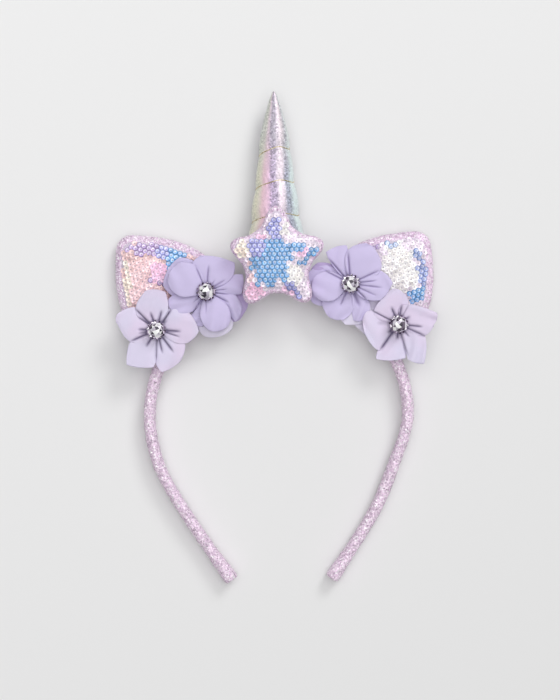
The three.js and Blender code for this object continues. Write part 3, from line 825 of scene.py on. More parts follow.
sequin_film, film_shader = finish("sequin_film", 0.34, 0.12)
film_painted_tint = node(sequin_film, "Attribute", {"attribute_name": "tone_and_painted_light"})
film_at = node(sequin_film, "TexCoord").outputs["Object"]
film_flash = node(sequin_film, "TexNoise", Vector=film_at, Scale=1300, Detail=2)
film_share = steps(sequin_film, film_flash, [(0.35, (0.86, 0.86, 0.90)), (0.62, (1.14, 1.12, 1.10))])
plug(sequin_film, film_shader, "Base Color", node(
    sequin_film, "Mix", {"data_type": "RGBA", "blend_type": "MULTIPLY"},
    Factor=1.0, A=film_painted_tint.outputs["Color"], B=film_share))
film_shader.inputs["Coat Weight"].default_value = 0.25
film_shader.inputs["Coat Roughness"].default_value = 0.15


def one_sequin():
    """The first sequin: a twelve-sided cup with its hole and its lowered middle."""
    bpy.ops.object.select_all(action="DESELECT")
    bpy.ops.mesh.primitive_circle_add(vertices=12, radius=0.3, location=(0, 0, 0))
    made = bpy.context.object
    bpy.ops.object.mode_set(mode="EDIT")
    for grow, rise in ((0.62 / 0.3, -0.02), (0.96 / 0.62, 0.08), (SEQUIN_RADIUS / 0.96, 0.16)):
        bpy.ops.mesh.extrude_region_move(TRANSFORM_OT_translate={"value": (0, 0, rise)})
        bpy.ops.transform.resize(value=(grow, grow, 1), center_override=(0, 0, 0))
    bpy.ops.mesh.select_all(action="SELECT")
    bpy.ops.mesh.normals_make_consistent(inside=False)
    bpy.ops.object.mode_set(mode="OBJECT")
    if made.data.polygons[0].normal.z < 0:
        made.data.flip_normals()
    return made


def patch_tone(patches, base, x, y, chance):
    """The tone of the patch that a place falls in, with a ragged border, or the base tone."""
    best, tone = 1.0, base
    for patch in patches:
        a = math.radians(patch["turn"])
        over, up = x - patch["x"], y - patch["y"]
        far = math.hypot((over * math.cos(a) + up * math.sin(a)) / patch["wide"],
                         (up * math.cos(a) - over * math.sin(a)) / patch["high"])
        if far + chance.uniform(-0.25, 0.25) < best:
            best, tone = far, patch["tone"]
    return tone


def sew_sequins(name, outline, shares, find, tone_at, chance):
    """Rows of sequins over a panel, each a copy of the first with its own tint, painted shade and painted highlights.
    """
    first = one_sequin()
    count = len(outline)
    turns = [math.atan2(p.x, p.y) % (2 * math.pi) for p in outline]
    low = min(range(count), key=lambda i: turns[i])
    order = [(low + k) % count for k in range(count)]
    order = order if turns[order[1]] < turns[order[2]] else [(low - k) % count for k in range(count)]
    sewn = []
    span = int(40 / SEQUIN_ROWS)
    for row in range(-span, span + 1):
        for place in range(-18, 19):
            x = (place + (row % 2) / 2) * SEQUIN_PITCH + chance.uniform(-0.16, 0.16)
            y = row * SEQUIN_ROWS + chance.uniform(-0.14, 0.14)
            turn = math.atan2(x, y) % (2 * math.pi)
            nearest = min(order, key=lambda i: abs((turns[i] - turn + math.pi) % (2 * math.pi) - math.pi))
            if math.hypot(x, y) > outline[nearest].length * shares[nearest] - 0.7:
                continue
            spot, facing = find(x, y)
            if spot is None:
                continue
            copy = first.copy()
            copy.data = first.data.copy()
            tilt = Vector((chance.gauss(0.10, 0.10), chance.gauss(-0.06, 0.10), 0))
            upright = (facing + tilt).normalized()
            copy.matrix_world = (
                Matrix.Translation(spot + facing * (0.42 + chance.uniform(0, 0.12)))
                @ upright.to_track_quat("Z", "Y").to_matrix().to_4x4()
                @ Matrix.Rotation(chance.uniform(0, math.pi), 4, "Z")
            )
            tone = tone_at(x, y)
            light = chance.uniform(0.88, 1.12)
            tone_and_painted_light = copy.data.color_attributes.new("tone_and_painted_light", "FLOAT_COLOR", "POINT")
            # Painted light per ring, lit from the way (0.45, 0.89): a painted dark hole; on blue and violet films a
            # painted highlight ring and glint on the lit side and a painted shaded rim; on pale films a painted shaded
            # rim on the side away from the light
            for v, shown in zip(copy.data.vertices, tone_and_painted_light.data):
                far = v.co.xy.length
                lit = (copy.matrix_world.to_3x3() @ v.co).dot(Vector((0.45, 0.89, 0))) / SEQUIN_RADIUS
                deep = tone[2] > 1.25 * tone[0]
                if not deep:
                    painted_highlight, shade = 0, 0.62 if far < 0.4 else 1 if far < 1.2 else 0.93 + 0.07 * lit
                elif far < 0.4:
                    painted_highlight, shade = 0, 0.66
                elif far < 0.8:
                    painted_highlight, shade = 0.42 + 0.8 * lit, 1.06
                elif far < 1.2:
                    painted_highlight, shade = 0.6 * max(0, lit), 0.93 + 0.6 * min(0, lit)
                else:
                    painted_highlight, shade = 0, 0.42 + 0.12 * lit
                shown.color = (*(min(1, (c + (1 - c) * painted_highlight) * shade * light) for c in tone), 1)
            bpy.context.collection.objects.link(copy)
            sewn.append(copy)
    bpy.data.objects.remove(first)
    bpy.ops.object.select_all(action="DESELECT")
    for copy in sewn:
        copy.select_set(True)
    bpy.context.view_layer.objects.active = sewn[0]
    bpy.ops.object.join()
    made = bpy.context.object
    made.name = name
    bpy.ops.object.transform_apply(location=True, rotation=True, scale=True)
    bpy.ops.object.shade_smooth_by_angle(angle=math.radians(30))
    wear(made, sequin_film)
    return made


star_outline = star_line()
star_shares = panel_shares(star_outline, STAR_TRIM)
star = pillow("padded_star", star_outline, STAR_THICK, star_shares)
swell(star, 0.8, 0.5)
bpy.ops.object.shade_smooth()
wear(star, glitter_edge)
star_front = front_of(star)
star_net = net_panel("star_net", star_outline, star_shares, star_front, sequin_net)
star_chance = random.Random(5)
star_sequins = sew_sequins(
    "star_sequins", star_outline, star_shares, star_front,
    lambda x, y: patch_tone(STAR_PATCHES, PALE, x, y, star_chance), star_chance,
)
for piece in (star, star_net, star_sequins):
    piece.matrix_world = Matrix.Translation(STAR_AT)
    lay_back(piece)
    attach(piece, "root")
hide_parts("star")
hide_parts("star_panel")

# Ears
# Two padded leaves, each with its foot against the band's outer edge. The front is the same
# sequined net inside a broad edge of glitter cloth that is stitched through once.
EAR_HEIGHT = 48.0
EAR_HALF_WIDTH = 26.0
EAR_THICK = 10.4
EAR_LOW = 3.4
EAR_HEART = 0.42
EAR_TRIM = 3.7
EAR_LEAF = [
    (0.8, 0.02), (0.94, 0.16), (0.98, 0.32), (0.885, 0.49), (0.775, 0.6),
    (0.635, 0.71), (0.47, 0.81), (0.27, 0.92), (0.1, 0.985),
]
# The patches of their sequins, in the arch's own frame
LEFT_PATCHES = [
    {"x": -49.7, "y": 79.0, "wide": 5.0, "high": 4.6, "turn": 0, "tone": AZURE},
    {"x": -51.4, "y": 73.4, "wide": 2.2, "high": 4.0, "turn": -20, "tone": AZURE},
    {"x": -47.0, "y": 83.0, "wide": 4.0, "high": 2.0, "turn": -20, "tone": ICE},
    {"x": -55.8, "y": 81.4, "wide": 4.6, "high": 3.6, "turn": 0, "tone": VIOLET},
    {"x": -62.6, "y": 82.0, "wide": 9.5, "high": 2.6, "turn": 0, "tone": PURPLE},
    {"x": -61.5, "y": 67.2, "wide": 1.3, "high": 1.3, "turn": 0, "tone": PURPLE},
    {"x": -55.7, "y": 65.6, "wide": 1.6, "high": 1.6, "turn": 0, "tone": PURPLE},
    {"x": -57.0, "y": 70.8, "wide": 5.6, "high": 4.6, "turn": 0, "tone": PINK},
    {"x": -72.0, "y": 66.0, "wide": 1.7, "high": 13.0, "turn": 0, "tone": STRAW},
    {"x": -65.6, "y": 66.0, "wide": 6.0, "high": 12.0, "turn": 0, "tone": PEACH},
]
RIGHT_PATCHES = [
    {"x": 56.6, "y": 82.6, "wide": 3.4, "high": 2.2, "turn": 0, "tone": (0.48, 0.62, 0.96)},
    {"x": 68.2, "y": 77.8, "wide": 2.8, "high": 3.2, "turn": 0, "tone": (0.36, 0.50, 0.94)},
    {"x": 70.4, "y": 67.5, "wide": 2.5, "high": 5.6, "turn": 0, "tone": (0.36, 0.46, 0.92)},
    {"x": 67.4, "y": 58.1, "wide": 3.6, "high": 3.8, "turn": 0, "tone": AZURE},
    {"x": 47.9, "y": 80.8, "wide": 2.0, "high": 2.2, "turn": 0, "tone": PURPLE},
    {"x": 62.0, "y": 84.8, "wide": 9.0, "high": 2.0, "turn": 0, "tone": PALE},
    {"x": 55.6, "y": 69.6, "wide": 4.2, "high": 3.6, "turn": 0, "tone": (0.96, 0.78, 0.82)},
    {"x": 59.0, "y": 71.0, "wide": 9.6, "high": 11.5, "turn": 0, "tone": PEARL},
]


def ear_line(stretch):
    """An ear's outline about its heart, with a foot that follows the band's outer edge."""
    foot_radius = ARCH_RADIUS + BAND_THICK / 2
    foot = [
        Vector((a * EAR_HALF_WIDTH,
                math.sqrt(foot_radius ** 2 - (a * EAR_HALF_WIDTH) ** 2) - foot_radius))
        for a in (0.4, 0, -0.4)
    ]
    leaf = [Vector((x * EAR_HALF_WIDTH, y * EAR_HEIGHT * stretch)) for x, y in EAR_LEAF]
    ring = foot + [Vector((-p.x, p.y)) for p in leaf] + leaf[::-1]
    points = []
    for i in range(len(ring)):
        a, b, c, d = ring[i - 1], ring[i], ring[(i + 1) % len(ring)], ring[(i + 2) % len(ring)]
        for k in range(7):
            t = k / 7
            points.append(0.5 * (2 * b + (c - a) * t + (2 * a - 5 * b + 4 * c - d) * t * t
                                 + (3 * b - a - 3 * c + d) * t ** 3))
    heart = Vector((0, EAR_HEART * EAR_HEIGHT * stretch))
    return [p - heart for p in points]


for name, side, splay, stretch, patches, base in (
    ("left", -1, 40.8, 1.045, LEFT_PATCHES, (0.93, 0.66, 0.66)),
    ("right", 1, 39.8, 1.0, RIGHT_PATCHES, PALE),
):
    outline = ear_line(stretch)
    shares = panel_shares(outline, EAR_TRIM)
    ear = pillow("padded_ear_" + name, outline, EAR_THICK, shares)
    swell(ear, 0.95, 0.5)
    bpy.ops.object.shade_smooth()
    wear(ear, glitter_edge)
    front = front_of(ear)
    net = net_panel("ear_net_" + name, outline, shares, front, sequin_net)
    stands = (
        Matrix.Rotation(math.radians(-side * splay), 4, "Z")
        @ Matrix.Translation((0, ARCH_RADIUS + BAND_THICK / 2 + 0.3 + EAR_HEART * EAR_HEIGHT * stretch,
                              -EAR_LOW))
    )
    chance = random.Random(11 + side)

    def tone_at(x, y):
        there = stands @ Vector((x, y, 0))
        return patch_tone(patches, base, there.x, there.y, chance)

    sequins = sew_sequins("ear_sequins_" + name, outline, shares, front, tone_at, chance)
    for piece in (ear, net, sequins):
        piece.matrix_world = stands
        lay_back(piece)
        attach(piece, "root")
    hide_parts("ear_" + name)
    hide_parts("ear_panel_" + name)

# Inner flowers
# Two flowers of lilac chiffon, each of heat-cut discs folded into overlapping petals and sewn
# through the middle, which draws creases out from the stone. A bigger, sheer layer lies behind.
CHIFFON_THICK = 0.25
SEAT = 5.8
# Each disc petal: the way it points in degrees anticlockwise from the right, how far its tip is
# from the flower's heart, half its width, how square it is, how far out its widest place is and how
# high it lies above the seat. Each folded petal: its two shoulders and the two corners between
# them, anticlockwise, as the way from the heart and the distance
LEFT_PETALS = [
    {"start": (-49, 19.6), "first": (-30, 20.6), "second": (-13, 20.2), "end": (0, 15.0), "high": 0.5},
    {"turn": 150, "reach": 21.4, "half": 9.8, "square": 0.25, "peak": 0.58, "high": 0.9},
    {"turn": 285, "reach": 22.6, "half": 9.0, "square": 0.15, "peak": 0.62, "high": 0.5},
    {"start": (236, 12.5), "first": (232, 16.5), "second": (262, 17.0), "end": (292, 12.0), "high": 1.2},
    {"start": (188, 17.6), "first": (202.7, 19.4), "second": (224.7, 15.4), "end": (236, 10.5), "high": 2.1},
    {"start": (-45, 12.4), "first": (-47, 20.2), "second": (-24, 18.6), "end": (-3, 12.6), "high": 2.4},
    {"start": (-6, 15.6), "first": (-2, 16.6), "second": (24.3, 19.2), "end": (32, 13.8), "high": 3.0},
    {"start": (29, 14.6), "first": (45, 19.4), "second": (97.7, 17.6), "end": (118, 14.5), "high": 3.9},
    {"turn": 290.0, "reach": 20.0, "half": 7.2, "square": 0.06, "peak": 0.60, "high": 4.5},
    {"turn": 149.6, "reach": 19.8, "half": 8.3, "square": 0.06, "peak": 0.56, "high": 5.1},
]
LEFT_CREASES = [
    {"turn": 84, "long": 14, "deep": 1.0, "wide": 0.8}, {"turn": 52, "long": 8, "deep": 0.5, "wide": 0.6},
    {"turn": 31, "long": 12, "deep": 0.8, "wide": 0.8}, {"turn": 20, "long": 10, "deep": 0.8, "wide": 0.5},
    {"turn": 5, "long": 11, "deep": 0.9, "wide": 0.6}, {"turn": 351, "long": 12, "deep": 1.0, "wide": 0.7},
    {"turn": 333, "long": 13, "deep": 0.9, "wide": 0.8}, {"turn": 268, "long": 12, "deep": 0.6, "wide": 0.6},
    {"turn": 236, "long": 15, "deep": 0.9, "wide": 0.7}, {"turn": 218, "long": 9, "deep": 0.6, "wide": 0.5},
    {"turn": 112, "long": 15, "deep": 0.9, "wide": 0.8},
]
RIGHT_PETALS = [
    {"start": (172, 19.0), "first": (165, 20.0), "second": (146, 18.6), "end": (133, 13.0), "high": 0.7},
    {"turn": 184, "reach": 20.8, "half": 9.8, "square": 0.25, "peak": 0.58, "high": 1.1},
    {"start": (240, 14.0), "first": (262, 20.0), "second": (300, 20.4), "end": (312, 14.0), "high": 0.5},
    {"start": (272, 12.0), "first": (274, 17.6), "second": (291, 18.4), "end": (312, 14.0), "high": 1.5},
    {"start": (209, 15.6), "first": (234.5, 19.0), "second": (259, 17.6), "end": (276, 12.5), "high": 2.3},
    {"start": (92, 14.0), "first": (95, 18.6), "second": (126.7, 19.2), "end": (133, 13.0), "high": 3.0},
    {"start": (-46, 10.6), "first": (-30, 16.4), "second": (0.4, 20.3), "end": (23, 15.6), "high": 3.8},
    {"start": (22.6, 15.8), "first": (45, 19.2), "second": (67.4, 21.0), "end": (92.5, 16.4), "high": 4.4},
    {"turn": 185.5, "reach": 18.7, "half": 7.2, "square": 0.06, "peak": 0.58, "high": 5.1},
]
RIGHT_CREASES = [
    {"turn": 130, "long": 18, "deep": 1.0, "wide": 0.9}, {"turn": 112, "long": 9, "deep": 0.6, "wide": 0.5},
    {"turn": 93.5, "long": 17, "deep": 1.1, "wide": 0.9}, {"turn": 24, "long": 17, "deep": 1.0, "wide": 0.8},
    {"turn": 6, "long": 14, "deep": 1.0, "wide": 0.7}, {"turn": 352, "long": 17, "deep": 0.9, "wide": 0.8},
    {"turn": 334, "long": 15, "deep": 0.8, "wide": 0.8}, {"turn": 315, "long": 12, "deep": 1.1, "wide": 0.8},
    {"turn": 291, "long": 13, "deep": 0.9, "wide": 1.6}, {"turn": 274, "long": 13, "deep": 0.6, "wide": 0.5},
    {"turn": 244, "long": 13, "deep": 0.9, "wide": 0.8}, {"turn": 228, "long": 9, "deep": 0.5, "wide": 0.5},
    {"turn": 152, "long": 16, "deep": 1.0, "wide": 0.9},
]


def round_petal(row):
    """Where a petal cut from a disc lies: x from -1 to 1 across it, y from -1 to 1 along it."""
    turn = math.radians(row["turn"])
    out, side = Vector((math.cos(turn), math.sin(turn))), Vector((-math.sin(turn), math.cos(turn)))

    def spread(x, y):
        disc_x, disc_y = x * math.sqrt(1 - y * y / 2), y * math.sqrt(1 - x * x / 2)
        px = disc_x + (x - disc_x) * row["square"]
        py = disc_y + (y - disc_y) * row["square"]
        # moves the widest place outwards from the middle
        length = ((py + 1) / 2) ** (math.log(row["peak"]) / math.log(0.5))
        neck = 0.42 + 0.58 * ease(length, -0.1, row["peak"] * 0.9)
        return out * (row["reach"] * length) + side * (row["half"] * px * neck)

    return spread


def folded_petal(row):
    """Where a folded length of cloth lies, from the heart past its shoulders to its corners."""
    start, first, second, end = (
        Vector((far * math.cos(math.radians(turn)), far * math.sin(math.radians(turn))))
        for turn, far in (row["start"], row["first"], row["second"], row["end"])
    )

    def side(shoulder, corner, v):
        root = shoulder.normalized() * 2.2
        return (root * (v - 0.6) * (v - 1) / 0.6 + shoulder * v * (v - 1) / (0.6 * -0.4)
                + corner * v * (v - 0.6) / 0.4)

    def spread(x, y):
        u, v = (x + 1) / 2, (y + 1) / 2
        spot = side(start, first, v).lerp(side(end, second, v), u)
        bulge = (first + second).normalized() * (0.9 * 4 * u * (1 - u) * v * v)
        return spot + bulge

    return spread


def crease_depth(creases, spot):
    """How deep the creases drawn out from the stitched heart are at a place about it."""
    far, turn = spot.length, math.atan2(spot.y, spot.x)
    deep = 0.0
    for crease in creases:
        off = (turn - math.radians(crease["turn"]) + math.pi) % (2 * math.pi) - math.pi
        if abs(off) > 0.7:
            continue
        across = far * math.sin(abs(off))
        fade = ease(far, 2.5, 5.5) * (1 - ease(far, crease["long"] * 0.7, crease["long"]))
        deep += crease["deep"] * math.exp(-((across / (crease["wide"] * 0.62)) ** 2)) * fade
    return min(1.2, deep)


def petal(name, row, spread, creases, dome, droop, chance):
    """One cloth petal about a flower's heart, as a grid from its sewn root to its tip."""
    waves = [(chance.uniform(0, 6.28), chance.uniform(1.6, 3.6)) for _ in range(3)]
    painted_fold_shades = []

    def place(u, v):
        x, y = 2 * u - 1, 2 * v - 1
        spot = spread(x, y)
        fold_and_shade = crease_depth(creases, spot)
        edge = max(abs(x), y)
        high = row["high"] + dome * (1 - x * x) * math.sin(math.pi * v ** 1.3)
        high += 0.20 * sum(math.sin(a + f * (1.6 * x + 2.4 * v)) for a, f in waves) * v
        high += row.get("lift", 0) * v ** 2
        high -= droop * max(0, edge) ** 8 + 0.8 * fold_and_shade
        # painted shade round the stone at the heart, added to the painted shade in the creases
        shade = 0.35 * (1 - ease(spot.length, 4.4, 6.0))
        painted_fold_shades.append(min(1, fold_and_shade + shade))
        return Vector((spot.x, spot.y, SEAT + max(0.1, high)))

    made = cloth(name, 44, 46, place)
    fold_and_shade = made.data.attributes.new("fold_and_shade", "FLOAT", "POINT")
    fold_and_shade.data.foreach_set("value", painted_fold_shades)
    return made


def thicken(piece, thick):
    """Gives a sheet its thickness."""
    bpy.ops.object.select_all(action="DESELECT")
    piece.select_set(True)
    bpy.context.view_layer.objects.active = piece
    skin = piece.modifiers.new("skin", "SOLIDIFY")
    skin.thickness = thick
    skin.offset = -1
    bpy.ops.object.modifier_apply(modifier="skin")
    bpy.ops.object.shade_smooth()


def flower(name, rows, creases, heart, dome, droop, thick, material, chance):
    """All petals of one flower, laid over one another in the order of their rows."""
    made = []
    for number, row in enumerate(rows, 1):
        spread = round_petal(row) if "turn" in row else folded_petal(row)
        piece = petal("%s_petal_%d" % (name, number), row, spread, creases, dome, droop, chance)
        cut = sum(p.area for p in piece.data.polygons) * 1e-6
        thicken(piece, thick)
        wear(piece, row.get("cloth", material))
        piece.matrix_world = Matrix.Translation((heart[0], heart[1], 0))
        lay_back(piece)
        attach(piece, "root")
        made.append((piece, cut))
    return made


def sheer(name, light, painted_shade_tone, rough):
    """Sheer cloth: a fine even weave over soft drapes, with painted shade, darker and bluer, in its creases and round
    its heart.
    """
    made, shader = finish(name, rough)
    fold_and_shade = node(made, "Attribute", {"attribute_name": "fold_and_shade"})
    at = node(made, "TexCoord").outputs["Object"]
    blots = node(made, "TexNoise", Vector=at, Scale=150, Detail=3)
    plain = steps(made, blots, [(0.3, light), (0.7, tuple(c * 0.95 for c in light))])
    plug(made, shader, "Base Color", node(
        made, "Mix", {"data_type": "RGBA"},
        Factor=node(made, "MapRange", Value=fold_and_shade.outputs["Fac"], From_Min=0.08, To_Max=0.9),
        A=plain, B=(*painted_shade_tone, 1)))
    weave = node(made, "TexNoise", Vector=at, Scale=3200, Detail=2)
    plug(made, shader, "Normal", node(made, "Bump", Height=weave, Strength=0.2, Distance=0.0002))
    shader.inputs["Sheen Weight"].default_value = 0.15
    shader.inputs["Sheen Roughness"].default_value = 0.4
    return made


chiffon = sheer("chiffon", (0.62, 0.55, 0.80), (0.22, 0.17, 0.34), 0.75)
rim_chiffon = sheer("rim_chiffon", (0.74, 0.69, 0.84), (0.30, 0.25, 0.42), 0.75)
mauve_chiffon = sheer("mauve_chiffon", (0.50, 0.40, 0.66), (0.22, 0.17, 0.34), 0.75)
LEFT_PETALS[0]["cloth"] = RIGHT_PETALS[0]["cloth"] = mauve_chiffon
LEFT_PETALS[2]["cloth"] = RIGHT_PETALS[2]["cloth"] = rim_chiffon

INNER_HEARTS = {"left": (-34.1, 61.2), "right": (35.4, 63.8)}
for name, rows, creases, seed in (
    ("left", LEFT_PETALS, LEFT_CREASES, 3), ("right", RIGHT_PETALS, RIGHT_CREASES, 8),
):
    made = flower("inner_flower_" + name, rows, creases, INNER_HEARTS[name], 0.9, 0.12,
                  CHIFFON_THICK, chiffon, random.Random(seed))
    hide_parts("flower_inner_%s_back" % name)
    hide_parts("flower_inner_%s_front" % name)

# Outer flowers
# Two flowers of ribbed lilac ribbon: five lengths of it, each folded over and gathered at the
# heart, with square shoulders and pleats that run out from the stone.
RIBBON_THICK = 0.35
# Each length: its shoulders and corners as above, how high it lies and how far its end lifts
LEFT_RIBBONS = [
    {"start": (266, 15.0), "first": (276, 20.6), "second": (306, 18.8), "end": (334, 15.0), "high": 0.8, "lift": 1.0},
    {"start": (-26, 15.6), "first": (-3, 20.4), "second": (30, 17.6), "end": (56, 12.6), "high": 1.4, "lift": 1.4},
    {"start": (204, 14.0), "first": (228.4, 22.2), "second": (264.4, 18.1), "end": (268, 14.0), "high": 2.0, "lift": 1.4},
    {"start": (134, 15.4), "first": (158, 20.3), "second": (172, 18.7), "end": (203.5, 13.8), "high": 2.7, "lift": 1.4},
    {"start": (61, 12.2), "first": (76, 18.8), "second": (103.5, 19.6), "end": (133, 14.4), "high": 3.4, "lift": 1.4},
]
LEFT_PLEATS = [
    {"turn": 134, "long": 16, "deep": 1.2, "wide": 1.1}, {"turn": 144, "long": 12, "deep": 1.1, "wide": 0.9},
    {"turn": 108, "long": 10, "deep": 1.1, "wide": 1.2}, {"turn": 74, "long": 11, "deep": 1.1, "wide": 1.2},
    {"turn": 53, "long": 14, "deep": 1.2, "wide": 1.1}, {"turn": 40, "long": 8, "deep": 0.5, "wide": 1.2},
    {"turn": 355, "long": 13, "deep": 1.2, "wide": 1.2}, {"turn": 342, "long": 13, "deep": 1.0, "wide": 0.9},
    {"turn": 306, "long": 15, "deep": 1.2, "wide": 1.2}, {"turn": 283, "long": 13, "deep": 1.1, "wide": 1.1},
    {"turn": 268, "long": 17, "deep": 0.8, "wide": 0.9}, {"turn": 237, "long": 10.5, "deep": 1.2, "wide": 1.2},
    {"turn": 203, "long": 15, "deep": 1.2, "wide": 1.2}, {"turn": 191, "long": 10, "deep": 0.8, "wide": 0.9},
    {"turn": 178, "long": 10, "deep": 1.1, "wide": 1.2},
]
RIGHT_RIBBONS = [
    {"start": (232, 16.5), "first": (237, 20.0), "second": (281, 16.8), "end": (287, 11.5), "high": 0.8, "lift": 1.6},
    {"start": (152, 14.0), "first": (160, 16.9), "second": (189, 17.0), "end": (230, 16.1), "high": 1.4, "lift": 1.6},
    {"start": (66, 11.6), "first": (77.5, 14.8), "second": (98.6, 17.4), "end": (148, 13.6), "high": 2.0, "lift": 1.2},
    {"start": (284, 13.5), "first": (284, 17.6), "second": (301.8, 22.6), "end": (334.6, 14.2), "high": 2.7, "lift": 1.4},
    {"start": (-25, 13.6), "first": (-3, 16.8), "second": (15.1, 19.2), "end": (62, 10.8), "high": 3.4, "lift": 1.2},
]
RIGHT_PLEATS = [
    {"turn": 112, "long": 10, "deep": 1.2, "wide": 1.2}, {"turn": 80, "long": 10.5, "deep": 1.1, "wide": 1.2},
    {"turn": 62, "long": 12, "deep": 0.6, "wide": 0.9}, {"turn": 34, "long": 7.5, "deep": 0.9, "wide": 1.2},
    {"turn": 353, "long": 13, "deep": 1.1, "wide": 1.1}, {"turn": 335, "long": 16, "deep": 1.0, "wide": 1.2},
    {"turn": 309, "long": 9, "deep": 0.9, "wide": 1.1}, {"turn": 286, "long": 18, "deep": 0.8, "wide": 0.9},
    {"turn": 266, "long": 8.5, "deep": 1.0, "wide": 1.2}, {"turn": 234, "long": 17, "deep": 1.2, "wide": 1.4},
    {"turn": 218, "long": 7.5, "deep": 1.0, "wide": 1.2}, {"turn": 176, "long": 12, "deep": 0.4, "wide": 1.9},
    {"turn": 152, "long": 16, "deep": 1.2, "wide": 0.9},
]

ribbon, ribbon_shader = finish("ribbon", 0.6)
ribbon_chart = node(ribbon, "UVMap", {"uv_map": "chart"})
ribbon_pleat_shade = node(ribbon, "Attribute", {"attribute_name": "fold_and_shade"})
ribbon_ribs = node(ribbon, "TexWave", {"bands_direction": "X", "wave_profile": "SIN"},
                   Vector=ribbon_chart.outputs["UV"], Scale=12, Distortion=0.3, Detail=1)
ribbon_drift = node(ribbon, "TexNoise", Vector=node(ribbon, "TexCoord").outputs["Object"], Scale=60,
                    Detail=1)
ribbon_plain = node(
    ribbon, "Mix", {"data_type": "RGBA", "blend_type": "MULTIPLY"}, Factor=1.0,
    A=steps(ribbon, ribbon_ribs, [(0.1, (0.68, 0.62, 0.80)), (0.7, (0.75, 0.68, 0.86))]),
    B=steps(ribbon, ribbon_drift, [(0.40, (0.98, 1.0, 1.0)), (0.60, (1.03, 0.98, 0.99))]))
# Painted shade darkens the pleats and the heart towards a deep violet
plug(ribbon, ribbon_shader, "Base Color", node(
    ribbon, "Mix", {"data_type": "RGBA"},
    Factor=node(ribbon, "MapRange", Value=ribbon_pleat_shade.outputs["Fac"], From_Min=0.08, To_Max=0.93),
    A=ribbon_plain, B=(0.13, 0.10, 0.20, 1)))
plug(ribbon, ribbon_shader, "Normal",
     node(ribbon, "Bump", Height=ribbon_ribs, Strength=0.25, Distance=0.0003))
ribbon_shader.inputs["Sheen Weight"].default_value = 0.2

OUTER_HEARTS = {"left": (-58.5, 43.1), "right": (58.3, 43.9)}
for name, rows, creases, seed in (
    ("left", LEFT_RIBBONS, LEFT_PLEATS, 4), ("right", RIGHT_RIBBONS, RIGHT_PLEATS, 9),
):
    made = flower("outer_flower_" + name, rows, creases, OUTER_HEARTS[name], 0.6, 0.1,
                  RIBBON_THICK, ribbon, random.Random(seed))
    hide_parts("flower_outer_" + name)

# Stones and settings
# In each flower's heart sits a foil-backed round stone in a dark nickel cup, held by claws over
# its girdle and ringed with beads. The cup is sewn through to the felt.
STONE_RADIUS = 3.95
STONE_SIDES = 8
STONE_TABLE = 1.9
STONE_CROWN = 1.5
STONE_GIRDLE = 0.3
STONE_PAVILION = 1.7
CUP_RADIUS = 4.75
CUP_HIGH = 2.0
BEADS = 14
CLAWS = 8

rhinestone, stone_shader = finish("rhinestone", 0.12, 0.25)
# Each facet's base colour is a painted reflection, from black through grey to white
stone_painted_reflection = node(rhinestone, "Attribute", {"attribute_name": "painted_facet_reflection"})
plug(rhinestone, stone_shader, "Base Color", steps(rhinestone, stone_painted_reflection.outputs["Fac"], [
    (0.0, (0.04, 0.03, 0.05)), (0.26, (0.20, 0.16, 0.22)), (0.42, (0.48, 0.44, 0.52)),
    (0.58, (0.80, 0.76, 0.84)), (0.74, (1.0, 1.0, 1.0))], hard=True))
stone_shader.inputs["Coat Weight"].default_value = 0.35
stone_shader.inputs["Coat Roughness"].default_value = 0.02
plated_setting, cup_shader = finish("plated_setting", 0.22, 1.0)
# The plated cup's colour is speckled with painted glints and painted dark reflections, from black to white
cup_at = node(plated_setting, "TexCoord").outputs["Object"]
cup_painted_glints = node(plated_setting, "TexVoronoi", Vector=cup_at, Scale=850)
cup_glint_pick = node(plated_setting, "SeparateColor", Color=cup_painted_glints.outputs["Color"])
plug(plated_setting, cup_shader, "Base Color", steps(plated_setting, cup_glint_pick.outputs["Red"], [
    (0.0, (0.05, 0.03, 0.06)), (0.35, (0.24, 0.18, 0.27)), (0.6, (0.55, 0.47, 0.58)),
    (0.8, (0.95, 0.92, 0.96))], hard=True))


def cut_stone():
    """A round stone: pavilion, girdle, two rings of crown facets and the table."""
    bpy.ops.object.select_all(action="DESELECT")
    bpy.ops.mesh.primitive_cone_add(
        vertices=STONE_SIDES, radius1=0.5, radius2=STONE_RADIUS, depth=STONE_PAVILION,
        location=(0, 0, STONE_PAVILION / 2), end_fill_type="NGON"
    )
    made = bpy.context.object
    bpy.ops.object.transform_apply(location=True, rotation=True, scale=True)
    bpy.ops.object.mode_set(mode="EDIT")
    bpy.ops.mesh.select_all(action="DESELECT")
    bpy.ops.object.mode_set(mode="OBJECT")
    top = max(made.data.polygons, key=lambda p: p.center.z)
    top.select = True
    bpy.ops.object.mode_set(mode="EDIT")
    bpy.ops.mesh.select_mode(type="FACE")
    bpy.ops.mesh.extrude_region_move(TRANSFORM_OT_translate={"value": (0, 0, STONE_GIRDLE)})
    twist = 180 / STONE_SIDES
    for grow, rise in ((0.80, 0.75), (STONE_TABLE / (STONE_RADIUS * 0.80), 0.75)):
        bpy.ops.mesh.extrude_region_move(TRANSFORM_OT_translate={"value": (0, 0, rise)})
        bpy.ops.transform.resize(value=(grow, grow, 1), center_override=(0, 0, 0))
        turn_about(twist, (0, 0, 0))
    bpy.ops.mesh.poke(offset=0.45)
    bpy.ops.mesh.select_all(action="SELECT")
    bpy.ops.mesh.quads_convert_to_tris(quad_method="BEAUTY", ngon_method="BEAUTY")
    bpy.ops.mesh.normals_make_consistent(inside=False)
    bpy.ops.object.mode_set(mode="OBJECT")
    return made


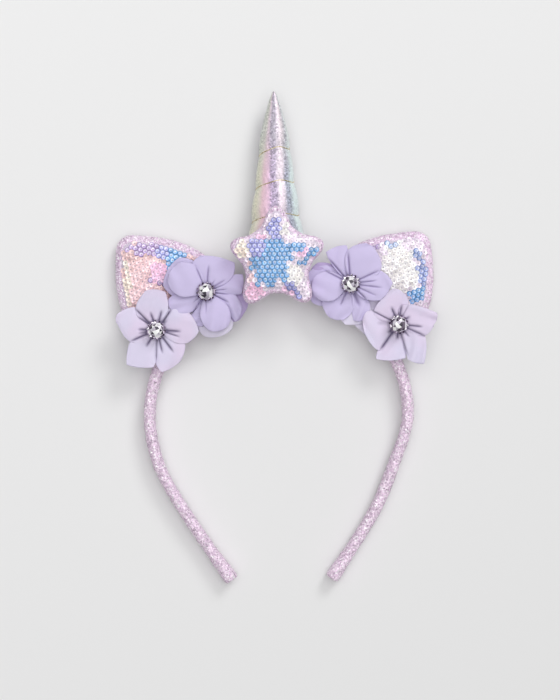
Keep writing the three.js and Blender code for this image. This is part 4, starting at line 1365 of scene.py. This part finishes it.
def setting():
    """A cup with a flat floor, a bead ring round it and claws bent over the stone."""
    bpy.ops.object.select_all(action="DESELECT")
    bpy.ops.mesh.primitive_cylinder_add(
        vertices=32, radius=CUP_RADIUS * 0.84, depth=CUP_HIGH, location=(0, 0, CUP_HIGH / 2)
    )
    made = bpy.context.object
    bpy.ops.object.transform_apply(location=True, rotation=True, scale=True)
    bpy.ops.object.mode_set(mode="EDIT")
    bpy.ops.mesh.select_all(action="DESELECT")
    bpy.ops.object.mode_set(mode="OBJECT")
    max(made.data.polygons, key=lambda p: p.center.z).select = True
    bpy.ops.object.mode_set(mode="EDIT")
    bpy.ops.mesh.select_mode(type="FACE")
    bpy.ops.mesh.inset(thickness=0.3, depth=0)
    bpy.ops.mesh.extrude_region_move(TRANSFORM_OT_translate={"value": (0, 0, -CUP_HIGH * 0.5)})
    bpy.ops.object.mode_set(mode="OBJECT")
    pieces = [made]
    for number in range(BEADS):
        a = 2 * math.pi * number / BEADS
        bpy.ops.mesh.primitive_uv_sphere_add(
            segments=10, ring_count=6, radius=0.62,
            location=(CUP_RADIUS * 0.88 * math.cos(a), CUP_RADIUS * 0.88 * math.sin(a), CUP_HIGH * 0.62)
        )
        pieces.append(bpy.context.object)
    for number in range(CLAWS):
        a = 2 * math.pi * (number + 0.5) / CLAWS
        bpy.ops.mesh.primitive_uv_sphere_add(
            segments=10, ring_count=6, radius=0.55,
            location=(3.45 * math.cos(a), 3.45 * math.sin(a), CUP_HIGH + 0.75),
            rotation=(0, math.radians(28), a), scale=(1.5, 0.8, 0.6)
        )
        pieces.append(bpy.context.object)
    bpy.ops.object.select_all(action="DESELECT")
    for piece in pieces:
        piece.select_set(True)
    bpy.context.view_layer.objects.active = made
    bpy.ops.object.join()
    bpy.ops.object.shade_smooth_by_angle(angle=math.radians(35))
    return made


first_stone, first_cup = cut_stone(), setting()
for name, heart, floor, turn, seed in (
    ("inner_left", INNER_HEARTS["left"], 11.55, 8, 21),
    ("inner_right", INNER_HEARTS["right"], 11.55, 31, 22),
    ("outer_left", OUTER_HEARTS["left"], 11.3, 17, 23),
    ("outer_right", OUTER_HEARTS["right"], 11.3, 44, 24),
):
    chance = random.Random(seed)
    stone = first_stone.copy()
    stone.data = first_stone.data.copy()
    stone.name = "cut_stone_" + name
    cup = first_cup.copy()
    cup.data = first_cup.data.copy()
    cup.name = "clawed_cup_" + name
    painted_facet_reflection = stone.data.attributes.new("painted_facet_reflection", "FLOAT", "FACE")
    # painted reflections: one for each quarter of the table, random ones for the other facets
    middle = [0.1, 0.95, 0.5, 0.8]
    chance.shuffle(middle)
    painted_facet_reflection.data.foreach_set("value", [
        middle[int(2 * math.atan2(p.center.y, p.center.x) / math.pi + 2.2) % 4]
        if p.center.xy.length < STONE_TABLE * 0.8 else chance.random() ** 0.8
        for p in stone.data.polygons
    ])
    for piece, material, rise, node_name, slot in (
        (stone, rhinestone, 1.0, "stone_", "rhinestone"),
        (cup, plated_setting, 0.0, "setting_", "plated_setting"),
    ):
        bpy.context.collection.objects.link(piece)
        wear(piece, material)
        piece.matrix_world = (
            Matrix.Translation((heart[0], heart[1], floor + rise))
            @ Matrix.Rotation(math.radians(turn), 4, "Z")
        )
        lay_back(piece)
        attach(piece, "root")
        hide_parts(node_name + name)
bpy.data.objects.remove(first_stone)
bpy.data.objects.remove(first_cup)

bpy.context.view_layer.update()
